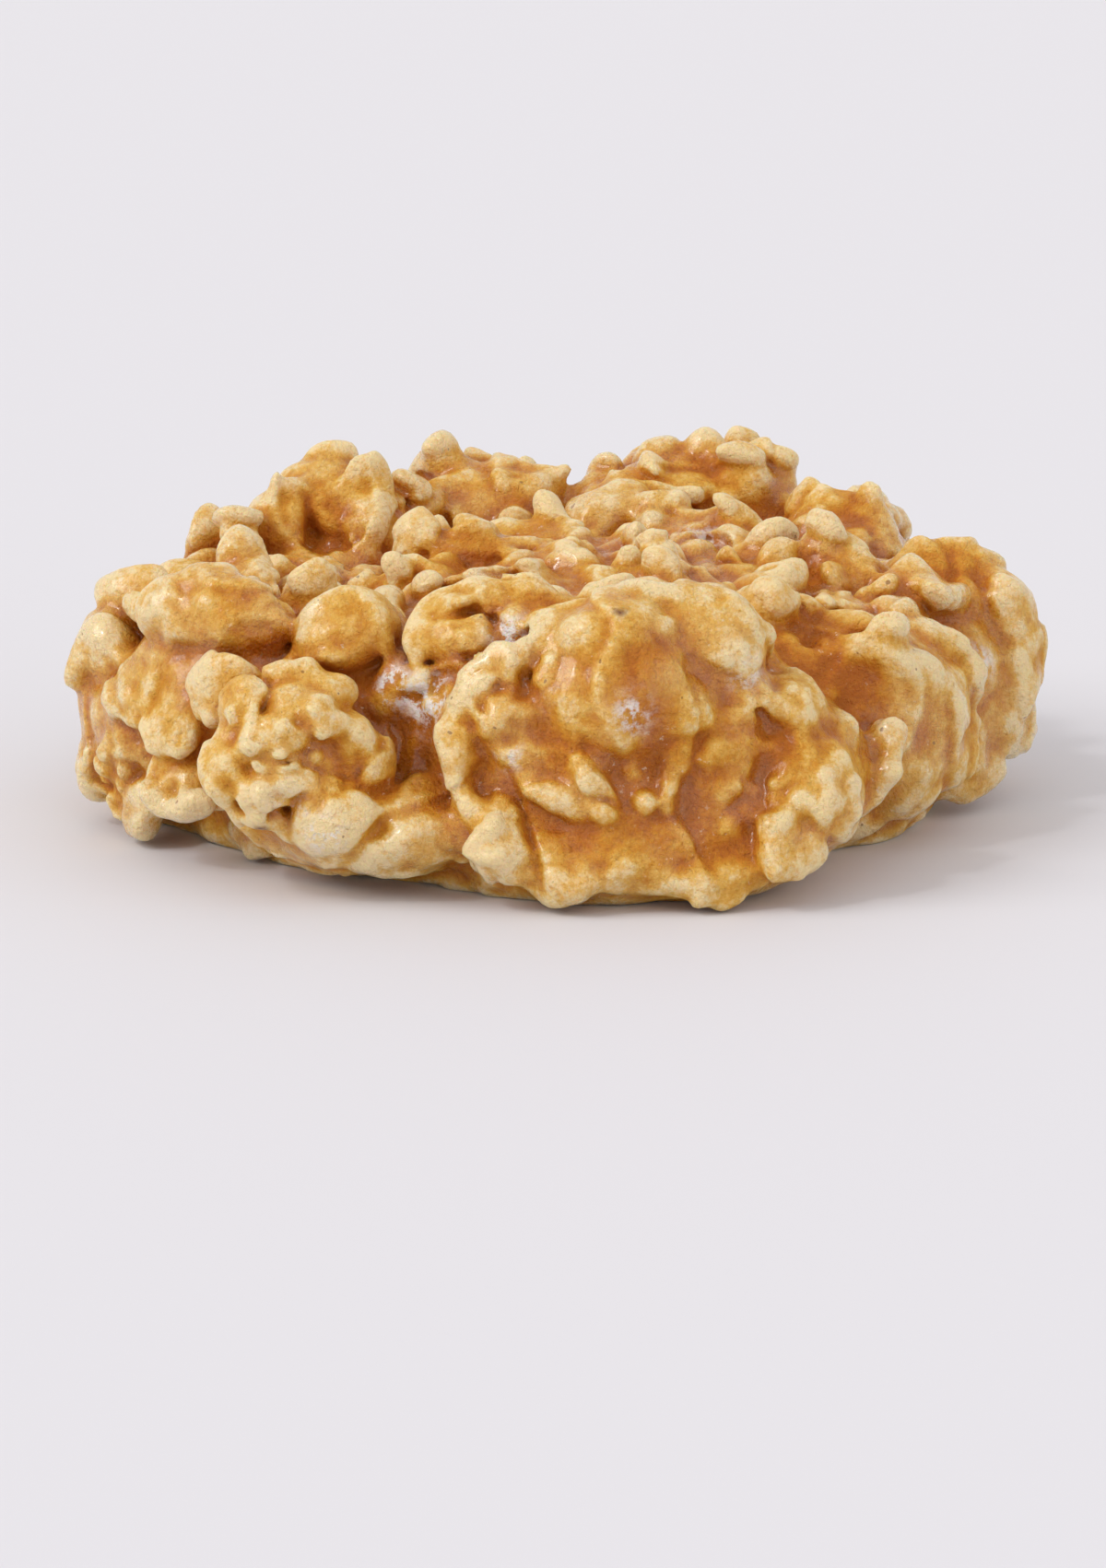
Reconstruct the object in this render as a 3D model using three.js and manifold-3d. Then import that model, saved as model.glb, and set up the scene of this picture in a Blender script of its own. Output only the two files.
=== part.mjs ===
// A no-bake oat cookie: rolled-oat flakes bound by set peanut fudge, dropped from a spoon on to flat paper.
// Millimetres, +Z up. The origin is the centre of the underside, and -Y is the side that faces the viewer.
// One solid: a lobed cake of fudge, the mounds and lumps it heaped up in, the hollows between them, and the
// coated flakes fused to its skin.
import * as THREE from "three";
import { mergeVertices } from "three/addons/utils/BufferGeometryUtils.js";
import Module from "manifold-3d";

const wasm = await Module();
wasm.setup();

// Driving dimensions.
const CAKE_RADIUS = 26; // fudge at the middle of the heap, under the flakes
const CAKE_HEIGHT = 15.5;
const CAKE_EDGE = 5; // how far the cake's rim is rounded
const CAKE_SIDES = 26;
const CAKE_EDGE_STEPS = 3;
const MOUND_SIDES = 10;
const MOUND_RINGS = 7;
const LUMP_SIDES = 6; // also the sides of a hollow
const LUMP_RINGS = 4;
const RIM_SIDES = 5;
const RIM_STEP = 3.6; // the length of one straight part of a rim
const RIM_END_SHARE = 0.45; // a rim's radius near its ends, as a share of its middle's
const RIM_END_REACH = 0.17; // how much of a rim's length each thin end takes
const FLAKE_LENGTH = 7.2; // a coated rolled oat, end to end
const FLAKE_WIDTH_SHARE = 0.8;
const FLAKE_THICKNESS = 2.5;
const FLAKE_EDGE_SHARE = 0.48; // the full thickness of its edge, as a share of the middle's
const BIG_FLAKE = 7; // a flake at least this long gets more sides
const BIG_FLAKE_SIDES = 9;
const SMALL_FLAKE_SIDES = 7;
const CURVE_FAN = 30; // how far the flakes of a curve fan out and tip, in degrees
const CURVE_TIP = 6;
const CURVE_WIDTH_SHARE = 0.68;
const BURIED_SHARE = 0.97; // a place this near a mound's skin or less is inside it
const PAPER_SIZE = 200;
const PAPER_DEPTH = 40;
const SEED = 31;

// The cake's outline swells and narrows: [direction in degrees from +X, extra radius, spread in degrees].
const CAKE_LOBES = [
  [-78, 3, 24],
  [-45, -2.5, 14],
  [-112, -2, 12],
  [175, 2, 26],
  [5, 1.5, 24],
  [95, 1, 30],
];

// Mounds of fudge and oats: [x, y, z, half width, half depth, half height].
const MOUNDS = {
  frontLobe: [5.6, -20.4, 3.6, 12.6, 10.6, 6],
  frontPeak: [7, -19.4, 13, 6.4, 6, 6],
  frontShoulder: [-2.4, -19.8, 9.6, 6.2, 7.4, 6.8],
  frontCheek: [15.2, -20.6, 7.4, 6, 7.6, 5.4],
  frontBelly: [-11, -20.5, 4.2, 9.5, 8.6, 3.6],
  leftClump: [-17, -22.4, 9, 4.8, 5.4, 5.4],
  leftShoulder: [-21, -12, 11.2, 7.5, 7, 5.8],
  leftLobe: [-26, -4, 7, 6.6, 10, 7],
  leftBack: [-22.5, 9, 9, 7.6, 9, 6.6],
  rightLobe: [21, -9.5, 8, 7.6, 7, 7],
  farRight: [27, 3, 8.6, 5.8, 7.6, 7],
  rightBack: [20.4, 12, 12, 6.4, 6.6, 7.6],
  backRing: [-16, 13.4, 14, 5.9, 6.2, 7.2],
  backLeft: [-5.2, 20.5, 13.5, 5.8, 6.4, 7.6],
  backRight: [11.2, 21, 13.4, 8.4, 7, 8.2],
  backFoot: [1, 23.6, 6, 17, 7, 6],
  crown: [2, -1, 13.4, 17, 15, 4.4],
};

// Lumps on the mounds, each a heap of small coated oats or a flake's thick end, given as the mounds are.
const LUMPS = {
  peak: [4.4, -25, 13.3, 5.8, 5, 5],
  peakNose: [3.8, -24.7, 16.9, 4.2, 4.2, 3.4],
  peakLow: [8, -25.2, 12.4, 3.2, 4, 2.6],
  peakBehind: [9.4, -23, 15.4, 4.6, 3.4, 5],
  earSheet: [-4.4, -20.8, 16.6, 4.8, 3.6, 3],
  curl: [-1, -23.4, 16.4, 3.4, 2.8, 2.4],
  inArc: [-2.4, -24.2, 12.4, 3, 3.2, 3.6],
  peakFoot: [9.6, -25.6, 9.8, 3.6, 3, 2.4],
  cheek: [17, -24.8, 7, 3.4, 3.6, 3.6],
  cheekRise: [14.4, -24.2, 9.6, 2.6, 3, 3.2],
  valleyTop: [13.2, -24.8, 12.5, 2.2, 2, 2],
  valleyFill: [12.8, -26.2, 7.4, 2.8, 2.4, 3.2],
  bowlFill: [4.8, -26.4, 7.8, 6, 2.6, 3.2],
  cheekTop: [15.4, -23.4, 11.8, 2.8, 2.8, 3],
  glossBead: [-2.6, -27, 10.2, 1, 1.4, 1],
  dome: [-13.8, -18.4, 16.2, 4.2, 3.8, 2.9],
  clumpLeft: [-20.4, -24.8, 12.6, 2, 2, 1.6],
  clumpBack: [-18.2, -23.4, 14.2, 1.7, 1.6, 1.3],
  clumpRight: [-14.9, -24, 13.2, 2.2, 1.8, 1.5],
  clumpBulb: [-15.3, -26.2, 11.8, 1.6, 1.8, 1.9],
  clumpMiddle: [-17.3, -25.4, 12.6, 2, 1.8, 1.6],
  clumpBright: [-18.2, -27.2, 10.8, 2.3, 2, 2],
  clumpPale: [-21.2, -25.8, 8.6, 2, 2.2, 2.2],
  clumpLow: [-18.6, -27.4, 7.8, 2, 1.8, 1.5],
  clumpGrain: [-12.6, -25.4, 9.8, 1.8, 2, 1.9],
  clumpBead: [-16.2, -27.8, 7.9, 1, 1.2, 1],
  clumpFlake: [-14.8, -28, 5.9, 2.9, 2, 2.3],
  clumpChip: [-19, -27, 5.7, 1.7, 1.5, 0.9],
  clumpFill: [-13.8, -25.2, 8.8, 2.8, 2.4, 2.4],
  clumpInner: [-15.6, -26.8, 9.6, 1.6, 1.5, 1.4],
  clumpSide: [-12.8, -25.8, 10.9, 1.5, 1.6, 1.5],
  beadMiddle: [0.8, -1, 17.2, 1.9, 1.9, 1.9],
  beadFront: [7.2, 0.5, 17, 1.8, 1.6, 1.6],
  wedgeRight: [14, -6, 16.2, 2, 1.8, 2],
  wedgeSide: [16, -5.4, 17, 1.4, 1.4, 1.7],
  beadRight: [13.2, 8.5, 17.2, 2.3, 2, 2.4],
  beadFar: [13.6, 17.4, 19.6, 2.3, 2, 2],
  middleLeft: [3.6, 13.4, 17.4, 2.8, 3, 2.2],
  middleRight: [7, 12.6, 17.4, 2.2, 2.8, 2],
  middleFar: [10, 9.4, 17, 2.2, 2.4, 1.8],
  arch: [-6.8, 3, 15.8, 5, 3.6, 3.4],
  archBead: [-10.4, -3.6, 16.4, 1.9, 1.8, 1.8],
  archSide: [-6.6, -4.6, 16.4, 2.2, 1.8, 1.4],
  ringTop: [-16.6, 12, 20, 4.4, 3, 2],
  ringLeft: [-20, 9.6, 18, 2.4, 2.8, 3],
  ringRight: [-13.4, 9.6, 18, 2.4, 2.8, 3],
  ringLow: [-16.6, 7, 15.8, 4, 2.4, 1.8],
  ringBead: [-22.4, 6, 17.6, 1.4, 1.4, 1.3],
  leftBackTop: [-25.4, 4.6, 13.6, 3, 3, 2.6],
  skyTop: [-8, 21, 20.6, 1.9, 2, 1.5],
  skySecond: [-4, 20, 20, 2, 2, 1.8],
  skyRise: [4.4, 19.6, 17.2, 3.6, 3.4, 2.6],
  saddleLeft: [-10.4, 16.4, 17.2, 2.6, 3, 2.8],
  leftGap: [-29.6, -6.4, 12.4, 2.4, 3, 2.6],
  skyCrest: [11, 22.4, 20, 3.8, 2.6, 1.6],
  skySide: [-2, 18.4, 17.6, 3.1, 3, 3.1],
  belly: [-10.4, -25.2, 5, 3.6, 3.4, 2.6],
};

// Hollows between the mounds, as the mounds are given.
const HOLLOWS = {
  besideClump: [-11.4, -28.6, 10.6, 3.4, 6, 5.4],
  bowl: [3.4, -32, 9, 6, 3, 2.2],
  lobeShade: [19.4, -15.6, 14.6, 3.6, 3, 1.6],
};

// Rounded rims where a flake's edge stands up under its coat: [radius, then points of a smooth curve].
const RIMS = {
  earRim: [
    1.1,
    [0.9, -20.8, 18.8], [-1.7, -20.2, 19.8], [-4.3, -20.4, 19.4], [-6.9, -21, 18.4],
    [-8.5, -21.8, 16.9], [-8.9, -22.6, 15.3], [-8.3, -23.6, 13.9],
  ],
  shoulderArc: [
    1.3,
    [2, -23.4, 18.8], [0, -24, 18], [-1.8, -25, 16.6], [-5, -25.8, 14.8], [-6.2, -26.2, 12.6],
    [-6.4, -26.6, 10.6], [-6.4, -27, 8.4], [-6, -27.4, 6.6],
  ],
  innerArc: [0.7, [-4.2, -27.4, 11.8], [-3, -27.4, 12.8], [-1.5, -27, 13.4]],
  peakEdge: [
    0.9,
    [2.9, -23.4, 19.4], [4.2, -23.4, 19.7], [6.2, -23.4, 20], [8.8, -23.6, 19.6], [11, -23.8, 18.9],
    [12.2, -24.2, 17.2], [12.7, -24.6, 15.5], [12.7, -25, 13.8], [12, -25.6, 12.4],
  ],
  footArc: [
    0.8,
    [12.8, -26, 11.4], [12.2, -26.8, 9.6], [10.8, -27.6, 8.2], [8.6, -28.4, 7.4], [6.4, -29, 7.4],
  ],
  lip: [
    0.9,
    [-5.6, -27.6, 7.2], [-5, -28.4, 5.4], [-3.8, -29.2, 4], [-2, -29.8, 2.9], [0.2, -30.1, 2.3],
    [2.6, -30.4, 2], [5.1, -30.5, 2.8], [7.8, -30.4, 2.3], [10.2, -30.1, 2.5], [12.4, -29.5, 2.8],
    [14.4, -28.8, 3.9],
  ],
  leftEdge: [1, [-27.5, -17.5, 5.3], [-26.2, -18.4, 4.3], [-24.5, -19.6, 4.4], [-22.8, -21.2, 5.8]],
  rightLobe: [
    1.6,
    [20.4, -14.6, 14.4], [23.4, -13.8, 13.4], [25.6, -12.6, 11.8], [27, -11.4, 10], [27, -11.4, 8],
    [25.6, -12.8, 6],
  ],
  rightLobeBehind: [1, [23.6, -9.4, 15], [26, -9, 14], [28.4, -8.6, 12.2], [29.6, -8, 10]],
};

// Flakes that stand out, each [x, y, z, length, width, thickness, faces, rises, turn].
// "faces" is the compass direction of its flat side in degrees from +X, "rises" how far that side tips up,
// and "turn" how far its long axis is turned in its own plane.
const FLAKES = {
  // the curved flake at the tall lump's left shoulder
  ear: [-3.6, -21.2, 17.2, 10.4, 6.4, 2.6, -104, 34, 20],
  // the face of the front lobe
  innerFlake: [1.6, -29.2, 7.6, 5.2, 2.4, 2.2, -90, 24, -8],
  // the belly and the hollow beside it
  hollowBead: [-10.2, -21, 13.4, 4, 3.8, 3, -96, 30, 0],
  hollowBeadRight: [-8.2, -22, 11.6, 3.6, 3, 2.6, -80, 20, 60],
  // left shoulder
  broadFlake: [-23, -15.6, 17.2, 9.8, 6.2, 3.6, -112, 42, 0],
  standingFlake: [-22.2, -20.6, 13.2, 6, 4.8, 3, -128, 16, 72],
  smallTopLeft: [-16.2, -11.6, 17.8, 4.6, 3.2, 2.2, -90, 60, 0],
  topLeft: [-21.2, -5, 16.8, 5.6, 4.6, 2.8, -120, 60, 20],
  leftCorner: [-28.6, -5, 16.2, 5.4, 3.8, 2.6, -124, 24, 30],
  // left lobe
  leftHigh: [-31.4, -5, 12.2, 6, 5.4, 2.6, 182, 20, 0],
  leftMiddle: [-28, -13, 10.6, 6, 4.8, 2.6, -142, 18, 20],
  leftLow: [-30, -11, 6.6, 5.2, 4.4, 2.6, -158, 5, 40],
  leftFoot: [-28.6, -11.6, 2.4, 6, 4.2, 2.8, -146, 0, 0],
  leftTip: [-32, -6.4, 4.4, 6.4, 5.2, 2.8, -158, 4, 10],
  leftFace: [-24.8, -17.2, 6, 7.2, 5.6, 2.6, -126, 12, 14],
  leftFaceTop: [-25.4, -16.8, 9.6, 6, 4.6, 2.4, -130, 25, -30],
  // across the top
  arch: [-5.4, 0.4, 18, 12, 4.6, 3.4, -88, 54, -8],
  seedFlake: [3.4, -19.4, 19.4, 4.6, 2.2, 2, -90, 50, 24],
  saddleRight: [14, -12, 16.4, 5.2, 4.2, 2.6, -70, 50, 0],
  // right side
  bigRight: [27.4, 3.6, 15.4, 8.4, 7.6, 4, -76, 30, 12],
  roundFlake: [19.6, -0.4, 16.8, 7.2, 4.8, 3.6, -80, 40, -35],
  tallRight: [32.2, 1.6, 11.4, 9.4, 5.4, 4.2, -30, 14, 84],
  lowRight: [31.4, -0.6, 5.8, 6.6, 6.2, 3, -40, 2, 30],
  footRight: [29.4, -3, 2.6, 5.6, 4, 2.6, -50, 0, 0],
  lobeFace: [20.4, -14.2, 11.2, 9.8, 7.6, 3.4, -74, 26, -20],
  lobeTop: [25, -10.4, 12, 6.2, 5, 2.8, -60, 30, 10],
  lobeEdge: [27.6, -8.4, 7.4, 7, 5.6, 2.8, -48, 14, 76],
  lobeFoot: [23.4, -13.6, 5.4, 8, 5.8, 2.8, -70, 8, 10],
  // the skyline at the back
  skyLeft: [-8.4, 22, 20, 4.6, 4.2, 3, -100, 60, 0],
  skyRight: [8.6, 23, 20, 7.6, 5.4, 3, -90, 60, 0],
  skyFarRight: [14.6, 19.4, 19.4, 6.2, 5, 3, -70, 50, 10],
  skyShoulder: [20.8, 11, 17.6, 7, 5.4, 3.2, -80, 50, -20],
};

// Flakes laid side by side round a curve: [x, y, z] of its middle, its half width and half height on the face
// that it lies in, the first and last angle on it, how many flakes, their length, which way the curve faces
// and how far the flakes' flat sides tip up.
const CURVES = {
  lowerLip: {
    middle: [6.2, -28.9, 5.6],
    half: [10.2, 2.6],
    from: 200,
    to: 336,
    count: 5,
    length: 7.4,
    faces: -88,
    rises: 36,
  },
};

// Flakes everywhere else, scattered by rule.
const SCATTER = { tries: 2600, cakeShare: 0.4, spacing: 5.2, embed: -0.2, tilt: 0.55, lowest: 2.6 };

// A repeatable random number from 0 to 1.
let state = SEED;
function random() {
  state = (state * 16807) % 2147483647;
  return state / 2147483647;
}

function spread(low, high) {
  return low + (high - low) * random();
}

function radians(angle) {
  return (angle * Math.PI) / 180;
}

function degrees(angle) {
  return (angle * 180) / Math.PI;
}

// How far the cake reaches in a direction given in radians.
function cakeRadius(angle) {
  let radius = CAKE_RADIUS;
  for (const [at, extra, width] of CAKE_LOBES) {
    let away = angle - radians(at);
    away = Math.atan2(Math.sin(away), Math.cos(away)) / radians(width);
    radius += extra * Math.exp(-away * away);
  }
  return radius;
}

// A closed geometry as a solid.
function solidOf(geometry) {
  const bare = geometry.index ? geometry.toNonIndexed() : geometry.clone();
  bare.deleteAttribute("normal");
  bare.deleteAttribute("uv");
  const merged = mergeVertices(bare, 1e-4);
  return new wasm.Manifold(
    new wasm.Mesh({
      numProp: 3,
      vertProperties: merged.attributes.position.array,
      triVerts: new Uint32Array(merged.index.array),
    }),
  );
}

// The fudge itself: a rounded disc whose outline follows the lobes.
function cake() {
  const profile = [new THREE.Vector2(0, 0), new THREE.Vector2(1, 0)];
  for (let i = 0; i <= CAKE_EDGE_STEPS; i++) {
    const turn = (Math.PI / 2) * (i / CAKE_EDGE_STEPS);
    const reach = 1 - (CAKE_EDGE / CAKE_RADIUS) * (1 - Math.cos(turn));
    profile.push(new THREE.Vector2(reach, CAKE_HEIGHT - CAKE_EDGE * (1 - Math.sin(turn))));
  }
  profile.push(new THREE.Vector2(0, CAKE_HEIGHT));
  const geometry = new THREE.LatheGeometry(profile, CAKE_SIDES);
  const place = geometry.attributes.position;
  for (let i = 0; i < place.count; i++) {
    const x = place.getX(i);
    const across = place.getZ(i);
    const radius = cakeRadius(Math.atan2(-across, x));
    place.setXYZ(i, x * radius, place.getY(i), across * radius);
  }
  return geometry.rotateX(Math.PI / 2);
}

function ball([x, y, z, halfX, halfY, halfZ], sides, rings) {
  return new THREE.SphereGeometry(1, sides, rings)
    .rotateX(Math.PI / 2)
    .scale(halfX, halfY, halfZ)
    .translate(x, y, z);
}

function mound(shape) {
  return ball(shape, MOUND_SIDES, MOUND_RINGS);
}

function lump(shape) {
  return ball(shape, LUMP_SIDES, LUMP_RINGS);
}

// The round edge of a flake that stands up under its coat, thinner at both ends.
function rim([radius, ...points]) {
  const curve = new THREE.CatmullRomCurve3(points.map((point) => new THREE.Vector3(...point)));
  const steps = Math.max(4, Math.round(curve.getLength() / RIM_STEP));
  const profile = [new THREE.Vector2(0, 0)];
  for (let i = 1; i < steps; i++) {
    const fromEnd = Math.min(i, steps - i) / steps;
    const fullness = Math.min(1, RIM_END_SHARE + ((1 - RIM_END_SHARE) * fromEnd) / RIM_END_REACH);
    profile.push(new THREE.Vector2(radius * fullness, i));
  }
  profile.push(new THREE.Vector2(0, steps));
  const geometry = new THREE.LatheGeometry(profile, RIM_SIDES);
  const frames = curve.computeFrenetFrames(steps);
  const place = geometry.attributes.position;
  for (let i = 0; i < place.count; i++) {
    const step = Math.round(place.getY(i));
    const at = curve
      .getPointAt(step / steps)
      .addScaledVector(frames.binormals[step], place.getX(i))
      .addScaledVector(frames.normals[step], place.getZ(i));
    place.setXYZ(i, ...at.toArray());
  }
  return geometry;
}

// The axes of a flake: along its length, across it, and out of its flat side.
function flakeAxes(faces, rises, turn) {
  const out = new THREE.Vector3(
    Math.cos(radians(rises)) * Math.cos(radians(faces)),
    Math.cos(radians(rises)) * Math.sin(radians(faces)),
    Math.sin(radians(rises)),
  );
  const level = new THREE.Vector3(-Math.sin(radians(faces)), Math.cos(radians(faces)), 0);
  const upright = new THREE.Vector3().crossVectors(out, level);
  const along = level.clone().multiplyScalar(Math.cos(radians(turn)));
  along.addScaledVector(upright, Math.sin(radians(turn)));
  const across = new THREE.Vector3().crossVectors(out, along);
  return [along, across, out];
}

// One coated flake: an oval pad with a full edge and an uneven outline.
function flake([x, y, z, length, width, thickness, faces, rises, turn]) {
  const profile = [
    new THREE.Vector2(0, -0.5),
    new THREE.Vector2(0.5, -0.5 * FLAKE_EDGE_SHARE),
    new THREE.Vector2(0.5, 0.5 * FLAKE_EDGE_SHARE),
    new THREE.Vector2(0, 0.5),
  ];
  const sides = length >= BIG_FLAKE ? BIG_FLAKE_SIDES : SMALL_FLAKE_SIDES;
  const geometry = new THREE.LatheGeometry(profile, sides).rotateX(Math.PI / 2);
  const place = geometry.attributes.position;
  const uneven = Math.abs(x * 3.1 + y * 1.7 + z * 2.3) % 6.28; // a different start for each place
  for (let i = 0; i < place.count; i++) {
    const u = place.getX(i);
    const v = place.getY(i);
    const angle = Math.atan2(v, u);
    const outline = 1 + 0.07 * Math.sin(2 * angle + uneven) + 0.06 * Math.sin(3 * angle + 2 * uneven);
    place.setXYZ(i, u * outline * length, v * outline * width, place.getZ(i) * thickness);
  }
  const [along, across, out] = flakeAxes(faces, rises, turn);
  return geometry.applyMatrix4(new THREE.Matrix4().makeBasis(along, across, out).setPosition(x, y, z));
}

// Flakes along a curve, each with its long side on the curve, fanning out from its middle.
function curveFlakes({ middle, half, from, to, count, length, faces, rises }) {
  const made = [];
  const [right, up] = flakeAxes(faces, 0, 0);
  for (let i = 0; i < count; i++) {
    const angle = radians(from + ((to - from) * i) / (count - 1));
    const place = new THREE.Vector3(...middle)
      .addScaledVector(right, half[0] * Math.cos(angle))
      .addScaledVector(up, half[1] * Math.sin(angle));
    const turn = degrees(angle) + 90 + spread(-15, 15);
    const size = length * spread(0.9, 1.15);
    made.push([
      ...place.toArray(),
      size,
      size * CURVE_WIDTH_SHARE,
      FLAKE_THICKNESS * spread(0.95, 1.2),
      faces + CURVE_FAN * Math.cos(angle),
      rises + CURVE_TIP * Math.sin(angle),
      turn,
    ]);
  }
  return made;
}

// Whether a point is inside a mound or the cake, with some room to spare.
function isBuried({ x, y, z }, skip) {
  for (const [name, [middleX, middleY, middleZ, halfX, halfY, halfZ]] of Object.entries(MOUNDS)) {
    const away = Math.hypot((x - middleX) / halfX, (y - middleY) / halfY, (z - middleZ) / halfZ);
    if (name !== skip && away < BURIED_SHARE) return true;
  }
  return skip !== "cake" && z < CAKE_HEIGHT - 1 && Math.hypot(x, y) < cakeRadius(Math.atan2(y, x)) - 1.5;
}

// A place on the skin of a mound or of the cake and the way out there, for a compass direction in radians
// and a height from -1 to 1.
function skinPlace(name, side, lift) {
  const facing = new THREE.Vector3(Math.cos(side), Math.sin(side), 0);
  if (name === "cake" && lift > 0) {
    const place = facing.multiplyScalar(cakeRadius(side) * lift).setZ(CAKE_HEIGHT);
    return [place, new THREE.Vector3(0, 0, 1)];
  }
  if (name === "cake") {
    const place = facing.clone().multiplyScalar(cakeRadius(side)).setZ(-lift * CAKE_HEIGHT);
    return [place, facing];
  }
  const middle = new THREE.Vector3(...MOUNDS[name].slice(0, 3));
  const half = new THREE.Vector3(...MOUNDS[name].slice(3));
  const onBall = facing.multiplyScalar(Math.sqrt(1 - lift * lift)).setZ(lift);
  const place = onBall.clone().multiply(half).add(middle);
  return [place, onBall.divide(half).normalize()];
}

// Flakes on whatever skin of the mounds and the cake is still bare, clear of the points that are taken.
function scatteredFlakes(taken) {
  const made = [];
  const names = Object.keys(MOUNDS);
  for (let i = 0; i < SCATTER.tries; i++) {
    const pick = (random() - SCATTER.cakeShare) / (1 - SCATTER.cakeShare);
    const name = pick < 0 ? "cake" : names[Math.floor(pick * names.length)];
    const side = spread(0, 2 * Math.PI);
    const lift = spread(-1, 1);
    const size = FLAKE_LENGTH * spread(0.72, 1.25);
    const lean = new THREE.Vector3(spread(-1, 1), spread(-1, 1), spread(-1, 1));
    const width = size * FLAKE_WIDTH_SHARE * spread(0.85, 1.12);
    const thickness = FLAKE_THICKNESS * spread(0.8, 1.2);
    const turn = spread(0, 180);
    const [place, out] = skinPlace(name, side, lift);
    if (place.z < SCATTER.lowest || isBuried(place, name)) continue;
    const isNear = ([x, y, z]) => Math.hypot(x - place.x, y - place.y, z - place.z) < SCATTER.spacing;
    if (taken.some(isNear) || made.some(isNear)) continue;
    place.addScaledVector(out, SCATTER.embed);
    out.addScaledVector(lean, SCATTER.tilt).normalize();
    const faces = degrees(Math.atan2(out.y, out.x));
    const rises = degrees(Math.asin(out.z));
    made.push([...place.toArray(), size, width, thickness, faces, rises, turn]);
  }
  return made;
}

function allFlakes() {
  const placed = [...Object.values(FLAKES), ...Object.values(CURVES).flatMap(curveFlakes)];
  const edges = Object.values(RIMS).flatMap(([, ...points]) => points);
  return [...placed, ...scatteredFlakes([...placed, ...Object.values(LUMPS), ...edges])];
}

// Everything fused, cut flat where it lay on the paper, with sealed hollows filled and loose scraps dropped.
function cookieGeometry() {
  let fused = solidOf(cake());
  for (const piece of Object.values(MOUNDS).map(mound)) fused = fused.add(solidOf(piece));
  for (const piece of Object.values(HOLLOWS).map(lump)) fused = fused.subtract(solidOf(piece));
  const onSkin = [
    ...Object.values(LUMPS).map(lump),
    ...allFlakes().map(flake),
    ...Object.values(RIMS).map(rim),
  ];
  for (const piece of onSkin) fused = fused.add(solidOf(piece));
  const paper = new THREE.BoxGeometry(PAPER_SIZE, PAPER_SIZE, PAPER_DEPTH).translate(0, 0, -PAPER_DEPTH / 2);
  const [body] = fused
    .subtract(solidOf(paper))
    .decompose()
    .sort((a, b) => b.volume() - a.volume());
  const { vertProperties, triVerts } = body.getMesh();
  return new THREE.BufferGeometry()
    .setAttribute("position", new THREE.BufferAttribute(vertProperties, 3))
    .setIndex(new THREE.BufferAttribute(triVerts, 1));
}

const fudgeAndOats = new THREE.MeshStandardMaterial({ color: 0xc7985c, roughness: 0.42, metalness: 0 });
const cookie = new THREE.Mesh(cookieGeometry(), fudgeAndOats);
cookie.name = "cookie";
cookie.geometry.computeVertexNormals();

const group = new THREE.Group();
group.add(cookie);

export default group;
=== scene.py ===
"""Dresses the no-bake oat cookie: a distance field of the same fudge, mounds and flakes as the solid,
with fine relief, meshed, coloured paler on its edges and darker in its hollows, partly as painted light and
shade, and lit softly on a pale floor.

Places and sizes are in millimetres in the part's frame until a mesh is made, and then in metres.
"""

import math

import bpy
import numpy as np
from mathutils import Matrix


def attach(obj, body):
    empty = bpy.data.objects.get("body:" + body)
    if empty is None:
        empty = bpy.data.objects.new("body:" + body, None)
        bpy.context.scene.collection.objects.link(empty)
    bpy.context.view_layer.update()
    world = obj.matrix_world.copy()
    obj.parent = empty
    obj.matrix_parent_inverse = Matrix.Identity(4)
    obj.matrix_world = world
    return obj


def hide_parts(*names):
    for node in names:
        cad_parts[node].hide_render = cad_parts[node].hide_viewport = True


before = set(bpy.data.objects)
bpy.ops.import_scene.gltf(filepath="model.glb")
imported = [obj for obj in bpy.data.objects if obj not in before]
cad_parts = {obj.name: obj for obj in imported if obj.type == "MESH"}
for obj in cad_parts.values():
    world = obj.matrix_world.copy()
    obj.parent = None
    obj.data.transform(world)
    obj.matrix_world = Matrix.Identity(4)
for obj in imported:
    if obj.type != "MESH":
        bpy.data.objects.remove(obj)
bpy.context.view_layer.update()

import openvdb
from mathutils import Euler, Vector

MM = 0.001
STEP = 0.26  # the width of the field's cells
FIELD_LOW = (-35.84, -33.91, -2.0)  # the corners of the box that the field fills
FIELD_HIGH = (36.6, 34.8, 24.4)
MOST_TRIANGLES = 196000
SPARE = 1.5  # how far past its fillet each shape's distances are worked out, for the relief

# ------------ the heap, as in the solid

CAKE_RADIUS = 26  # fudge at the middle of the heap, under the flakes
CAKE_HEIGHT = 15.5
CAKE_EDGE = 5  # how far the cake's rim is rounded
FLAKE_LENGTH = 7.2  # a coated rolled oat, end to end
FLAKE_WIDTH_SHARE = 0.8
FLAKE_THICKNESS = 2.5
FLAKE_EDGE_SHARE = 0.48  # the full thickness of its edge, as a share of the middle's
CURVE_FAN = 30  # how far the flakes of a curve fan out and tip, in degrees
CURVE_TIP = 6
CURVE_WIDTH_SHARE = 0.68
BURIED_SHARE = 0.97  # a place this near a mound's skin or less is inside it
SEED = 31

# The cake's outline swells and narrows: (direction in degrees from +X, extra radius, spread in degrees).
CAKE_LOBES = [
    (-78, 3, 24),
    (-45, -2.5, 14),
    (-112, -2, 12),
    (175, 2, 26),
    (5, 1.5, 24),
    (95, 1, 30),
]

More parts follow.
